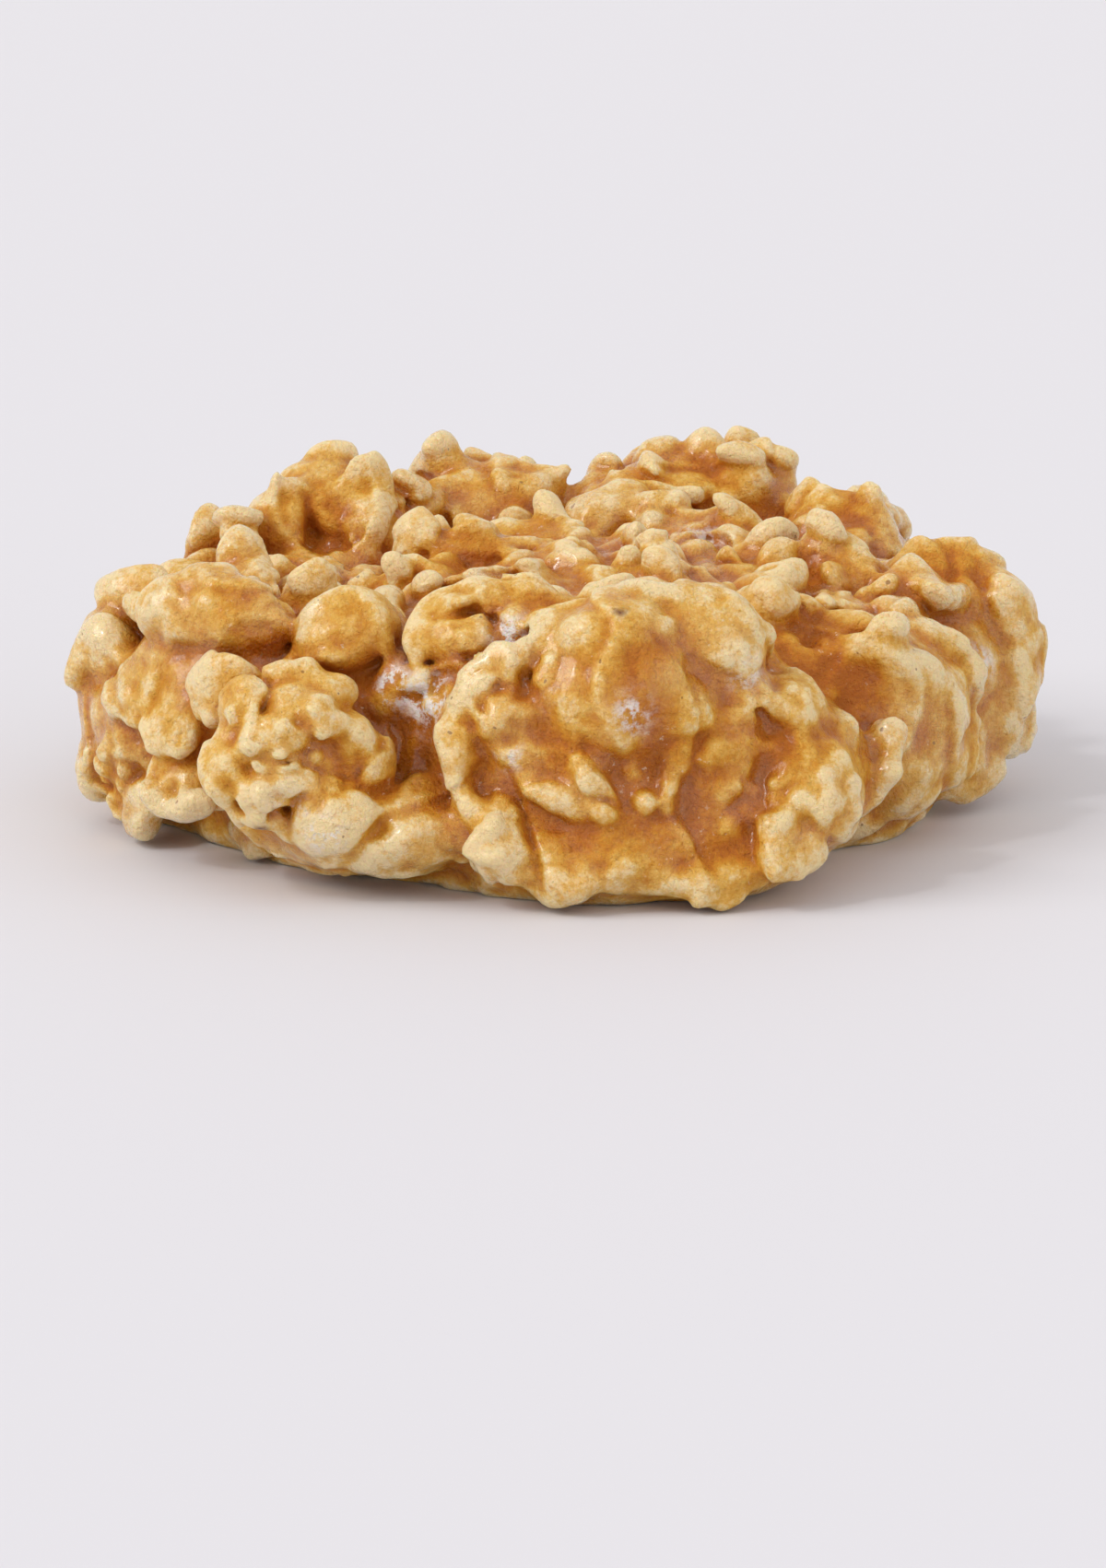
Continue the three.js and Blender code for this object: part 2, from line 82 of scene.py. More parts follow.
# Mounds of fudge and oats: x, y, z, half width, half depth, half height.
MOUNDS = {
    "frontLobe": (5.6, -20.4, 3.6, 12.6, 10.6, 6),
    "frontPeak": (7, -19.4, 13, 6.4, 6, 6),
    "frontShoulder": (-2.4, -19.8, 9.6, 6.2, 7.4, 6.8),
    "frontCheek": (15.2, -20.6, 7.4, 6, 7.6, 5.4),
    "frontBelly": (-11, -20.5, 4.2, 9.5, 8.6, 3.6),
    "leftClump": (-17, -22.4, 9, 4.8, 5.4, 5.4),
    "leftShoulder": (-21, -12, 11.2, 7.5, 7, 5.8),
    "leftLobe": (-26, -4, 7, 6.6, 10, 7),
    "leftBack": (-22.5, 9, 9, 7.6, 9, 6.6),
    "rightLobe": (21, -9.5, 8, 7.6, 7, 7),
    "farRight": (27, 3, 8.6, 5.8, 7.6, 7),
    "rightBack": (20.4, 12, 12, 6.4, 6.6, 7.6),
    "backRing": (-16, 13.4, 14, 5.9, 6.2, 7.2),
    "backLeft": (-5.2, 20.5, 13.5, 5.8, 6.4, 7.6),
    "backRight": (11.2, 21, 13.4, 8.4, 7, 8.2),
    "backFoot": (1, 23.6, 6, 17, 7, 6),
    "crown": (2, -1, 13.4, 17, 15, 4.4),
}

# Rounded rims where a flake's edge stands up under its coat: radius, then points of a smooth curve.
RIMS = {
    "earRim": (
        1.1,
        (0.9, -20.8, 18.8), (-1.7, -20.2, 19.8), (-4.3, -20.4, 19.4), (-6.9, -21, 18.4),
        (-8.5, -21.8, 16.9), (-8.9, -22.6, 15.3), (-8.3, -23.6, 13.9),
    ),
    "shoulderArc": (
        1.3,
        (2, -23.4, 18.8), (0, -24, 18), (-1.8, -25, 16.6), (-5, -25.8, 14.8), (-6.2, -26.2, 12.6),
        (-6.4, -26.6, 10.6), (-6.4, -27, 8.4), (-6, -27.4, 6.6),
    ),
    "innerArc": (0.7, (-4.2, -27.4, 11.8), (-3, -27.4, 12.8), (-1.5, -27, 13.4)),
    "peakEdge": (
        0.9,
        (2.9, -23.4, 19.4), (4.2, -23.4, 19.7), (6.2, -23.4, 20), (8.8, -23.6, 19.6), (11, -23.8, 18.9),
        (12.2, -24.2, 17.2), (12.7, -24.6, 15.5), (12.7, -25, 13.8), (12, -25.6, 12.4),
    ),
    "footArc": (
        0.8,
        (12.8, -26, 11.4), (12.2, -26.8, 9.6), (10.8, -27.6, 8.2), (8.6, -28.4, 7.4), (6.4, -29, 7.4),
    ),
    "lip": (
        0.9,
        (-5.6, -27.6, 7.2), (-5, -28.4, 5.4), (-3.8, -29.2, 4), (-2, -29.8, 2.9), (0.2, -30.1, 2.3),
        (2.6, -30.4, 2), (5.1, -30.5, 2.8), (7.8, -30.4, 2.3), (10.2, -30.1, 2.5), (12.4, -29.5, 2.8),
        (14.4, -28.8, 3.9),
    ),
    "leftEdge": (1, (-27.5, -17.5, 5.3), (-26.2, -18.4, 4.3), (-24.5, -19.6, 4.4), (-22.8, -21.2, 5.8)),
    "rightLobe": (
        1.6,
        (20.4, -14.6, 14.4), (23.4, -13.8, 13.4), (25.6, -12.6, 11.8), (27, -11.4, 10), (27, -11.4, 8),
        (25.6, -12.8, 6),
    ),
    "rightLobeBehind": (1, (23.6, -9.4, 15), (26, -9, 14), (28.4, -8.6, 12.2), (29.6, -8, 10)),
}

# Grooves where one flake's edge overlaps another, as the rims are given.
GROOVES = {
    "ear": (
        0.7,
        (0.6, -24, 17.8), (-1.5, -24.4, 17.4), (-3.7, -24.6, 16.7), (-5.8, -25, 15.6), (-7.3, -25.8, 14.3),
        (-8.1, -26.2, 12.7), (-8.5, -26.8, 10.9), (-8, -27.4, 8.9),
    ),
    "peakCrack": (
        0.35,
        (6.8, -27.4, 18.4), (7.9, -27.6, 17), (9, -27.8, 15.6), (10.2, -27.6, 14.4), (11.2, -27.2, 13.2),
    ),
    "underPeak": (
        0.45,
        (-0.8, -28.2, 11.8), (0.3, -29.4, 9.8), (2.4, -30, 8.8), (5.4, -29.8, 8.7), (8.1, -29.2, 9.6),
        (10, -28, 11.2),
    ),
    "cheekStripe": (0.3, (15.8, -25.5, 13.8), (16.4, -26.3, 12.5), (17, -26.4, 10.9)),
    "cheekStripeRight": (0.3, (17.1, -24.9, 13.8), (17.8, -25.1, 12.2), (18.6, -25.3, 10.7)),
    "cheekValley": (0.45, (13.2, -26.4, 12.4), (13.8, -26.8, 10.8), (13.6, -28, 8.4), (12.8, -29, 6.4)),
}

# Lumps on the mounds, each a coated heap of small oats or the thick end of a flake, as the mounds are given.
LUMPS = {
    "peak": (4.4, -25, 13.3, 5.8, 5, 5),
    "peakNose": (3.8, -24.7, 16.9, 4.2, 4.2, 3.4),
    "peakLow": (8, -25.2, 12.4, 3.2, 4, 2.6),
    "peakBehind": (9.4, -23, 15.4, 4.6, 3.4, 5),
    "earSheet": (-4.4, -20.8, 16.6, 4.8, 3.6, 3),
    "curl": (-1, -23.4, 16.4, 3.4, 2.8, 2.4),
    "inArc": (-2.4, -24.2, 12.4, 3, 3.2, 3.6),
    "peakFoot": (9.6, -25.6, 9.8, 3.6, 3, 2.4),
    "cheek": (17, -24.8, 7, 3.4, 3.6, 3.6),
    "cheekRise": (14.4, -24.2, 9.6, 2.6, 3, 3.2),
    "valleyTop": (13.2, -24.8, 12.5, 2.2, 2, 2),
    "valleyFill": (12.8, -26.2, 7.4, 2.8, 2.4, 3.2),
    "bowlFill": (4.8, -26.4, 7.8, 6, 2.6, 3.2),
    "cheekTop": (15.4, -23.4, 11.8, 2.8, 2.8, 3),
    "glossBead": (-2.6, -27, 10.2, 1, 1.4, 1),
    "dome": (-13.8, -18.4, 16.2, 4.2, 3.8, 2.9),
    "clumpLeft": (-20.4, -24.8, 12.6, 2, 2, 1.6),
    "clumpBack": (-18.2, -23.4, 14.2, 1.7, 1.6, 1.3),
    "clumpRight": (-14.9, -24, 13.2, 2.2, 1.8, 1.5),
    "clumpBulb": (-15.3, -26.2, 11.8, 1.6, 1.8, 1.9),
    "clumpMiddle": (-17.3, -25.4, 12.6, 2, 1.8, 1.6),
    "clumpBright": (-18.2, -27.2, 10.8, 2.3, 2, 2),
    "clumpPale": (-21.2, -25.8, 8.6, 2, 2.2, 2.2),
    "clumpLow": (-18.6, -27.4, 7.8, 2, 1.8, 1.5),
    "clumpGrain": (-12.6, -25.4, 9.8, 1.8, 2, 1.9),
    "clumpBead": (-16.2, -27.8, 7.9, 1, 1.2, 1),
    "clumpFlake": (-14.8, -28, 5.9, 2.9, 2, 2.3),
    "clumpChip": (-19, -27, 5.7, 1.7, 1.5, 0.9),
    "clumpFill": (-13.8, -25.2, 8.8, 2.8, 2.4, 2.4),
    "clumpInner": (-15.6, -26.8, 9.6, 1.6, 1.5, 1.4),
    "clumpSide": (-12.8, -25.8, 10.9, 1.5, 1.6, 1.5),
    "beadMiddle": (0.8, -1, 17.2, 1.9, 1.9, 1.9),
    "beadFront": (7.2, 0.5, 17, 1.8, 1.6, 1.6),
    "wedgeRight": (14, -6, 16.2, 2, 1.8, 2),
    "wedgeSide": (16, -5.4, 17, 1.4, 1.4, 1.7),
    "beadRight": (13.2, 8.5, 17.2, 2.3, 2, 2.4),
    "beadFar": (13.6, 17.4, 19.6, 2.3, 2, 2),
    "middleLeft": (3.6, 13.4, 17.4, 2.8, 3, 2.2),
    "middleRight": (7, 12.6, 17.4, 2.2, 2.8, 2),
    "middleFar": (10, 9.4, 17, 2.2, 2.4, 1.8),
    "arch": (-6.8, 3, 15.8, 5, 3.6, 3.4),
    "archBead": (-10.4, -3.6, 16.4, 1.9, 1.8, 1.8),
    "archSide": (-6.6, -4.6, 16.4, 2.2, 1.8, 1.4),
    "ringTop": (-16.6, 12, 20, 4.4, 3, 2),
    "ringLeft": (-20, 9.6, 18, 2.4, 2.8, 3),
    "ringRight": (-13.4, 9.6, 18, 2.4, 2.8, 3),
    "ringLow": (-16.6, 7, 15.8, 4, 2.4, 1.8),
    "ringBead": (-22.4, 6, 17.6, 1.4, 1.4, 1.3),
    "leftBackTop": (-25.4, 4.6, 13.6, 3, 3, 2.6),
    "skyTop": (-8, 21, 20.6, 1.9, 2, 1.5),
    "skySecond": (-4, 20, 20, 2, 2, 1.8),
    "skyRise": (4.4, 19.6, 17.2, 3.6, 3.4, 2.6),
    "saddleLeft": (-10.4, 16.4, 17.2, 2.6, 3, 2.8),
    "leftGap": (-29.6, -6.4, 12.4, 2.4, 3, 2.6),
    "skyCrest": (11, 22.4, 20, 3.8, 2.6, 1.6),
    "skySide": (-2, 18.4, 17.6, 3.1, 3, 3.1),
    "belly": (-10.4, -25.2, 5, 3.6, 3.4, 2.6),
}

# Hollows between the mounds: x, y, z, half width, half depth, half height.
HOLLOWS = {
    "besideClump": (-11.4, -28.6, 10.6, 3.4, 6, 5.4),
    "bowl": (3.4, -32, 9, 6, 3, 2.2),
    "lobeShade": (19.4, -15.6, 14.6, 3.6, 3, 1.6),
}

# Small pits in the skin, as the hollows are given.
PITS = {
    "ear": (-4.6, -23.6, 18.2, 2.4, 1.8, 1),
    "ringHole": (-16.7, 7, 18.2, 1.3, 3, 1.1),
    "leftHole": (-31.2, -12.2, 2.9, 1.2, 2, 1.2),
}

# Where the skin is crumbly with small torn bits of oat: x, y, z, reach.
CRUMBS = {
    "clump": (-17.5, -27, 9.5, 5),
    "lipLeft": (-4.5, -29.5, 4.5, 3),
    "cheek": (17.4, -28, 7, 3),
    "inner": (4.6, -30, 7.6, 3.4),
    "valley": (12.6, -28.6, 6.8, 2.8),
    "leftTip": (-31, -11, 5, 3),
    "ring": (-15.4, 8, 16.8, 3),
}

# Where the coat is made darker and more orange (amount under 0) or paler (over 0): x, y, z, reach, amount.
# Some are the coat lying thick or thin; others are painted shade on sides turned from the key light and in
# hollows, a painted shadow under the peak, and painted light on lit sides and on a bead's glint.
TONES_AND_PAINTED_LIGHT = {
    "peakMiddle": (5, -28.5, 17, 2.8, -1),
    "peakLow": (5.5, -29.5, 14, 2.4, -0.6),
    "peakLeftRim": (1, -27, 17, 1.6, 0.7),
    "peakTopRim": (6.5, -25, 20, 1.8, 0.7),
    "behindPeak": (11.5, -26, 17.5, 2, 0.5),
    "underPeak": (3.5, -28.5, 9.5, 3, -0.5),
    "bowlRight": (9.5, -28.5, 8.5, 3, -0.5),
    "lipInside": (5.5, -30.5, 5.5, 3, -0.6),
    "lipInsideRight": (9.5, -30.5, 5, 2.4, -0.6),
    "lipLeft": (-4, -30.5, 5.5, 2, 0.5),
    "valley": (14, -26.5, 11, 2.2, -0.9),
    "valleyFoot": (13, -28.5, 6, 2, -0.8),
    "cheek": (17, -29, 7.5, 2, 0.4),
    "innerFlake": (1.2, -30, 7.6, 1.4, 0.8),
    "insideArc": (-2.4, -28, 13.6, 1.9, -0.7),
    "insideEar": (-5.5, -23, 17.5, 2.2, -0.7),
    "insideEarTop": (-0.6, -21.4, 19.8, 1.5, -0.5),
    "domeRight": (-12.5, -22, 15.8, 2.8, -1),
    "domeLeft": (-17, -20, 16.7, 1.3, 0.9),
    "belowDome": (-10.4, -23, 9, 3.2, -0.9),
    "hollowBead": (-8.1, -24, 13.4, 1.5, 1),
    "hollowBeadLow": (-6.8, -25, 11.6, 1.4, 0.8),
    "broadFlake": (-21.6, -18, 18.4, 2.8, -0.6),
    "broadFlakeRight": (-19.2, -18.7, 16.1, 2, -1),
    "standingFlake": (-21, -25, 14.5, 1.6, -0.8),
    "standingFlakeLeft": (-24, -20.8, 13.8, 1.4, 1),
    "belly": (-12, -28.8, 3, 4, 0.6),
    "leftHole": (-30.8, -10.4, 3, 1.6, -0.5),
    "leftSide": (-31, -8, 13, 2.8, 0.8),
    "leftMiddle": (-28, -14.6, 12, 2.6, 0.8),
    "leftFoot": (-25, -21, 4.5, 2.6, 0.7),
    "clumpLow": (-18, -29, 8.4, 2.4, 0.7),
    "clumpFlake": (-14.8, -29.5, 5.2, 1.5, 0.9),
    "arch": (-5.8, -1, 18.4, 3, -0.8),
    "archRim": (-10.4, 1, 18.6, 1.6, 0.6),
    "ringHole": (-17, 9, 18.2, 2.4, -1),
    "ringFoot": (-18, 2.4, 16.6, 2.2, -0.7),
    "backLeft": (-1.7, 16, 18, 2.6, -0.8),
    "backRight": (11, 18, 20.4, 1.4, -1),
    "backRightSide": (17, 18, 19, 1.6, -0.6),
    "rightBack": (21.5, 9.5, 18.6, 3, -0.8),
    "roundFlake": (18, -1.2, 17.4, 2.2, -0.8),
    "roundFlakeRight": (21.6, -2.8, 16, 1.6, 0.8),
    "bigRight": (28, 2, 16.4, 2.8, -0.6),
    "besideBigRight": (23.4, -3.4, 16, 1.8, -0.9),
    "lobeShade": (18.2, -12.8, 14.4, 3.2, -0.8),
    "lobeFace": (20, -16.6, 12.4, 3, -0.8),
    "lobeRidges": (25, -14.2, 13.8, 2.4, 0.6),
    "farRight": (32.2, -1.4, 11, 2.6, 0.7),
    "saddle": (-10.8, -6.8, 16, 2.6, 0.8),
    "beadMiddle": (1.2, -3.4, 17.6, 1.6, 0.8),
    "beadFront": (6.4, -5, 18.2, 1.7, 0.8),
    "beadRight": (12.4, 2.8, 17.4, 1.6, 0.6),
    "beadWedge": (16, -7.6, 17, 1.5, 0.8),
    "middleBack": (3.6, 10, 17.6, 2.2, 0.6),
}

# Whitish sugar bloom, with wet glints and sheen painted into the colour as painted highlights: x, y, z,
# reach.
BLOOMS_AND_PAINTED_GLINTS = {
    "ear": (-2.9, -24, 17.3, 1.2),
    "besideEar": (-8.4, -23.8, 12.4, 1.4),
    "hollowBead": (-8.1, -24, 13.4, 1.1),
    "hollowTop": (-10.7, -23, 14, 0.9),
    "hollow": (-10.6, -22.8, 13.4, 1.2),
    "clumpFlake": (-15, -29.6, 5, 1.1),
    "clumpFoot": (-17.4, -29.6, 6.8, 1),
    "gloss": (-2.8, -28.2, 10.2, 0.8),
    "besidePeak": (0.6, -27.6, 14, 0.9),
    "peakLow": (5.2, -29.8, 13.2, 1.1),
    "behindPeak": (12.6, -25.6, 15.2, 1),
    "middle": (10.4, 6, 17, 1.6),
    "rightBack": (22.6, 5, 16.6, 1.5),
    "farRight": (30.5, -4, 11.4, 1.4),
    "cheek": (15.4, -28.6, 4.6, 0.8),
}

# Dark specks of husk: x, y, z, reach.
SPECKS = {
    "peak": (4.4, -27.2, 19.6, 0.38),
    "belowClump": (-19.2, -28.1, 5.1, 0.4),
}

# Flakes that stand out: x, y, z, length, width, thickness, faces, rises, turn.
# "faces" is the compass direction of its flat side in degrees from +X, "rises" how far that side tips up,
# and "turn" how far its long axis is turned in its own plane.
FLAKES = {
    # the curved flake at the tall lump's left shoulder
    "ear": (-3.6, -21.2, 17.2, 10.4, 6.4, 2.6, -104, 34, 20),
    # the face of the front lobe
    "innerFlake": (1.6, -29.2, 7.6, 5.2, 2.4, 2.2, -90, 24, -8),
    # the belly and the hollow beside it
    "hollowBead": (-10.2, -21, 13.4, 4, 3.8, 3, -96, 30, 0),
    "hollowBeadRight": (-8.2, -22, 11.6, 3.6, 3, 2.6, -80, 20, 60),
    # left shoulder
    "broadFlake": (-23, -15.6, 17.2, 9.8, 6.2, 3.6, -112, 42, 0),
    "standingFlake": (-22.2, -20.6, 13.2, 6, 4.8, 3, -128, 16, 72),
    "smallTopLeft": (-16.2, -11.6, 17.8, 4.6, 3.2, 2.2, -90, 60, 0),
    "topLeft": (-21.2, -5, 16.8, 5.6, 4.6, 2.8, -120, 60, 20),
    "leftCorner": (-28.6, -5, 16.2, 5.4, 3.8, 2.6, -124, 24, 30),
    # left lobe
    "leftHigh": (-31.4, -5, 12.2, 6, 5.4, 2.6, 182, 20, 0),
    "leftMiddle": (-28, -13, 10.6, 6, 4.8, 2.6, -142, 18, 20),
    "leftLow": (-30, -11, 6.6, 5.2, 4.4, 2.6, -158, 5, 40),
    "leftFoot": (-28.6, -11.6, 2.4, 6, 4.2, 2.8, -146, 0, 0),
    "leftTip": (-32, -6.4, 4.4, 6.4, 5.2, 2.8, -158, 4, 10),
    "leftFace": (-24.8, -17.2, 6, 7.2, 5.6, 2.6, -126, 12, 14),
    "leftFaceTop": (-25.4, -16.8, 9.6, 6, 4.6, 2.4, -130, 25, -30),
    # across the top
    "arch": (-5.4, 0.4, 18, 12, 4.6, 3.4, -88, 54, -8),
    "seedFlake": (3.4, -19.4, 19.4, 4.6, 2.2, 2, -90, 50, 24),
    "saddleRight": (14, -12, 16.4, 5.2, 4.2, 2.6, -70, 50, 0),
    # right side
    "bigRight": (27.4, 3.6, 15.4, 8.4, 7.6, 4, -76, 30, 12),
    "roundFlake": (19.6, -0.4, 16.8, 7.2, 4.8, 3.6, -80, 40, -35),
    "tallRight": (32.2, 1.6, 11.4, 9.4, 5.4, 4.2, -30, 14, 84),
    "lowRight": (31.4, -0.6, 5.8, 6.6, 6.2, 3, -40, 2, 30),
    "footRight": (29.4, -3, 2.6, 5.6, 4, 2.6, -50, 0, 0),
    "lobeFace": (20.4, -14.2, 11.2, 9.8, 7.6, 3.4, -74, 26, -20),
    "lobeTop": (25, -10.4, 12, 6.2, 5, 2.8, -60, 30, 10),
    "lobeEdge": (27.6, -8.4, 7.4, 7, 5.6, 2.8, -48, 14, 76),
    "lobeFoot": (23.4, -13.6, 5.4, 8, 5.8, 2.8, -70, 8, 10),
    # the skyline at the back
    "skyLeft": (-8.4, 22, 20, 4.6, 4.2, 3, -100, 60, 0),
    "skyRight": (8.6, 23, 20, 7.6, 5.4, 3, -90, 60, 0),
    "skyFarRight": (14.6, 19.4, 19.4, 6.2, 5, 3, -70, 50, 10),
    "skyShoulder": (20.8, 11, 17.6, 7, 5.4, 3.2, -80, 50, -20),
}

# Flakes laid side by side round a curve: its middle, its half width and half height on the face that it lies
# in, its first and last angle, how many flakes, their length, and how the curve faces and the flakes rise.
CURVES = {
    "lowerLip": dict(
        middle=(6.2, -28.9, 5.6),
        half=(10.2, 2.6),
        start=200,
        end=336,
        count=5,
        length=7.4,
        faces=-88,
        rises=36,
    ),
}

# Flakes everywhere else, scattered by rule.
SCATTER = dict(tries=2600, cake_share=0.4, spacing=5.2, embed=-0.2, tilt=0.55, lowest=2.6)
LENGTHS = (0.72, 1.25)  # how their sizes vary, as shares of the usual ones
WIDTHS = (0.85, 1.12)
THICKNESSES = (0.8, 1.2)


class Draw:
    """Repeatable random numbers, the same ones as the solid's."""

    def __init__(self, seed):
        self.state = seed

    def unit(self):
        self.state = (self.state * 16807) % 2147483647
        return self.state / 2147483647

    def spread(self, low, high):
        return low + (high - low) * self.unit()


def cake_radius(angle):
    """How far the cake reaches in a direction in radians: a number, or an array of them."""
    radius = CAKE_RADIUS + 0 * angle
    for at, extra, width in CAKE_LOBES:
        away = angle - math.radians(at)
        away = np.arctan2(np.sin(away), np.cos(away)) / math.radians(width)
        radius = radius + extra * np.exp(-away * away)
    return radius


def flake_axes(faces, rises, turn):
    """Unit vectors along a flake, across it, and out of its flat side."""
    f, r, t = math.radians(faces), math.radians(rises), math.radians(turn)
    out = np.array([math.cos(r) * math.cos(f), math.cos(r) * math.sin(f), math.sin(r)])
    level = np.array([-math.sin(f), math.cos(f), 0])
    upright = np.cross(out, level)
    along = level * math.cos(t) + upright * math.sin(t)
    return along, np.cross(out, along), out


def leans_of(out):
    """Which way a flat side with this way out faces and how far it rises, in degrees."""
    return math.degrees(math.atan2(out[1], out[0])), math.degrees(math.asin(out[2]))


def tilted(out, lean):
    out = out + lean
    return out / np.linalg.norm(out)


def curve_flakes(draw, middle, half, start, end, count, length, faces, rises):
    """Flakes along a curve, each with its long side on the curve, fanning out from its middle."""
    made = []
    right, up, _ = flake_axes(faces, 0, 0)
    for i in range(count):
        degrees = start + (end - start) * i / (count - 1)
        angle = math.radians(degrees)
        place = np.array(middle) + right * half[0] * math.cos(angle) + up * half[1] * math.sin(angle)
        turn = degrees + 90 + draw.spread(-15, 15)
        size = length * draw.spread(0.9, 1.15)
        thickness = FLAKE_THICKNESS * draw.spread(0.95, 1.2)
        leans = (faces + CURVE_FAN * math.cos(angle), rises + CURVE_TIP * math.sin(angle))
        made.append((*place, size, size * CURVE_WIDTH_SHARE, thickness, *leans, turn))
    return made


def is_buried(x, y, z, skip):
    """Whether a point is inside a mound or the cake, with some room to spare."""
    for name, (mx, my, mz, a, b, c) in MOUNDS.items():
        if name != skip and math.hypot((x - mx) / a, (y - my) / b, (z - mz) / c) < BURIED_SHARE:
            return True
    in_cake = z < CAKE_HEIGHT - 1 and math.hypot(x, y) < cake_radius(math.atan2(y, x)) - 1.5
    return skip != "cake" and in_cake


def skin_place(name, side, lift):
    """A place on a mound's or the cake's skin and the way out there, lift being its height from -1 to 1."""
    facing = np.array([math.cos(side), math.sin(side), 0])
    if name == "cake" and lift > 0:
        place = facing * cake_radius(side) * lift + np.array([0, 0, CAKE_HEIGHT])
        return place, np.array([0.0, 0.0, 1.0])
    if name == "cake":
        return facing * cake_radius(side) + np.array([0, 0, -lift * CAKE_HEIGHT]), facing
    half = np.array(MOUNDS[name][3:])
    ball = facing * math.sqrt(1 - lift * lift) + np.array([0, 0, lift])
    return np.array(MOUNDS[name][:3]) + half * ball, tilted(ball / half, 0)


def scattered_flakes(draw, placed):
    """Flakes on whatever skin of the mounds and the cake is still bare."""
    made = []
    names = list(MOUNDS)
    for _ in range(SCATTER["tries"]):
        pick = (draw.unit() - SCATTER["cake_share"]) / (1 - SCATTER["cake_share"])
        name = "cake" if pick < 0 else names[int(pick * len(names))]
        side = draw.spread(0, 2 * math.pi)
        lift = draw.spread(-1, 1)
        length = FLAKE_LENGTH * draw.spread(*LENGTHS)
        lean = np.array([draw.spread(-1, 1), draw.spread(-1, 1), draw.spread(-1, 1)])
        width = length * FLAKE_WIDTH_SHARE * draw.spread(*WIDTHS)
        thickness = FLAKE_THICKNESS * draw.spread(*THICKNESSES)
        turn = draw.spread(0, 180)
        place, out = skin_place(name, side, lift)
        if place[2] < SCATTER["lowest"] or is_buried(*place, name):
            continue
        if any(math.dist(other[:3], place) < SCATTER["spacing"] for other in placed + made):
            continue
        place = place + out * SCATTER["embed"]
        out = tilted(out, lean * SCATTER["tilt"])
        made.append((*place, length, width, thickness, *leans_of(out), turn))
    return made


def all_flakes():
    draw = Draw(SEED)
    placed = list(FLAKES.values())
    for curve in CURVES.values():
        placed += curve_flakes(draw, **curve)
    edges = [point for _, *points in RIMS.values() for point in points]
    return placed + scattered_flakes(draw, placed + list(LUMPS.values()) + edges)


# ------------ the distance field

FAR = 6.0  # the distance in cells that no shape has reached
TINY = 1e-6  # keeps a division clear of 0
EVERYWHERE = 99  # past every corner of the field

# How far the fudge rounds off the corner where each kind of shape meets the rest.
CAKE_FILLET = 0.5
MOUND_FILLET = 1.8
LUMP_FILLET = 0.6
FLAKE_FILLET = 0.7
RIM_FILLET = 1.1
GROOVE_FILLET = 0.6
HOLLOW_FILLET = 1.2
PIT_FILLET = 0.8
FOOT_FILLET = 0.8  # round the flat underside
BIT_TINT = 0.3

# Rims and grooves.
RIM_SPACING = 0.35  # between the balls that make a rim
RIM_END_SHARE = 0.45  # the radius at its ends, as a share of its middle's
RIM_END_RISE = 3.2  # how fast that share grows along the rim
RIM_BEADS = ((0.1, 0.55), (0.07, 0.25))  # swellings: how high, and how many radians for each ball
RIM_ROOM = 1.3  # the most that a rim swells

# Flakes.
FLAKE_WAVES = ((2, 0.08, 1), (3, 0.07, 2))  # the outline's waves: how many, how high, how far turned
FLAKE_NICKS = ((7, 0.02, 0.05), (12, 0.01, 0.035))  # and its nicks: how many, the least and most height
FLAKE_CUP = (-0.8, 0.4)  # how far the edge bends out, or in under 0
FLAKE_TWIST = 0.5
FLAKE_ROOM = 0.62  # its furthest reach, as a share of its length
FLAKE_SOFT = 0.9  # how round its edge is
WAVE_START = 6  # a wave starts anywhere from 0 to this, in radians

# Small torn bits of oat in the hollows, small oats that stand up out of the top, and the crumbs of a patch.
BITS = dict(spacing=2.4, lowest=1.8, length=2.6, closed=0.47, more=0.16, sink=0.1, fillet=0.8, seed=11)
TOP_BITS = dict(spacing=3.4, lowest=14, front=-14, level=0.8, lift=0.25, fillet=0.7, seed=12)
PATCH = dict(spacing=1.25, lowest=0.8, size=1.9, sink=0.1, fillet=0.45, seed=50)
CLOSED_REACH = 1.6  # how far round a place the fudge closes it in

# The skin's relief, in mm: height, width of the lumps, seed. Grain comes and goes in patches.
FIRST_WARP = (0.45, 4.2, 20)
LAST_WARP = (0.25, 1.8, 30)
LEDGES = (0.42, 3.6, 4)
CREASES = ((0.2, 3, 1), (0.22, 1.6, 2))
GRAIN = ((-0.26, 1.1, 6), (0.24, 0.85, 3))
GRAIN_PATCHES = (5, 5)  # width and seed
NOISE_GAIN = 2.6
CREASE_MIDDLE = 0.4
LEDGE_MIDDLE = 0.45
LEDGE_PACE = 0.85
LEDGE_END = 0.8  # where on a ledge its fall begins, and how long the fall is
LEDGE_FALL = 0.2

SKIN_BAND = 0.6  # how near a cell on the skin is to it, in cells
SLOPE_REACH = 2  # the cells to each side that a slope is measured over
MOST_SKIN_CELLS = 60000
NEIGHBOURS = [(i, j, k) for i in (-1, 0, 1) for j in (-1, 0, 1) for k in (-1, 0, 1)]


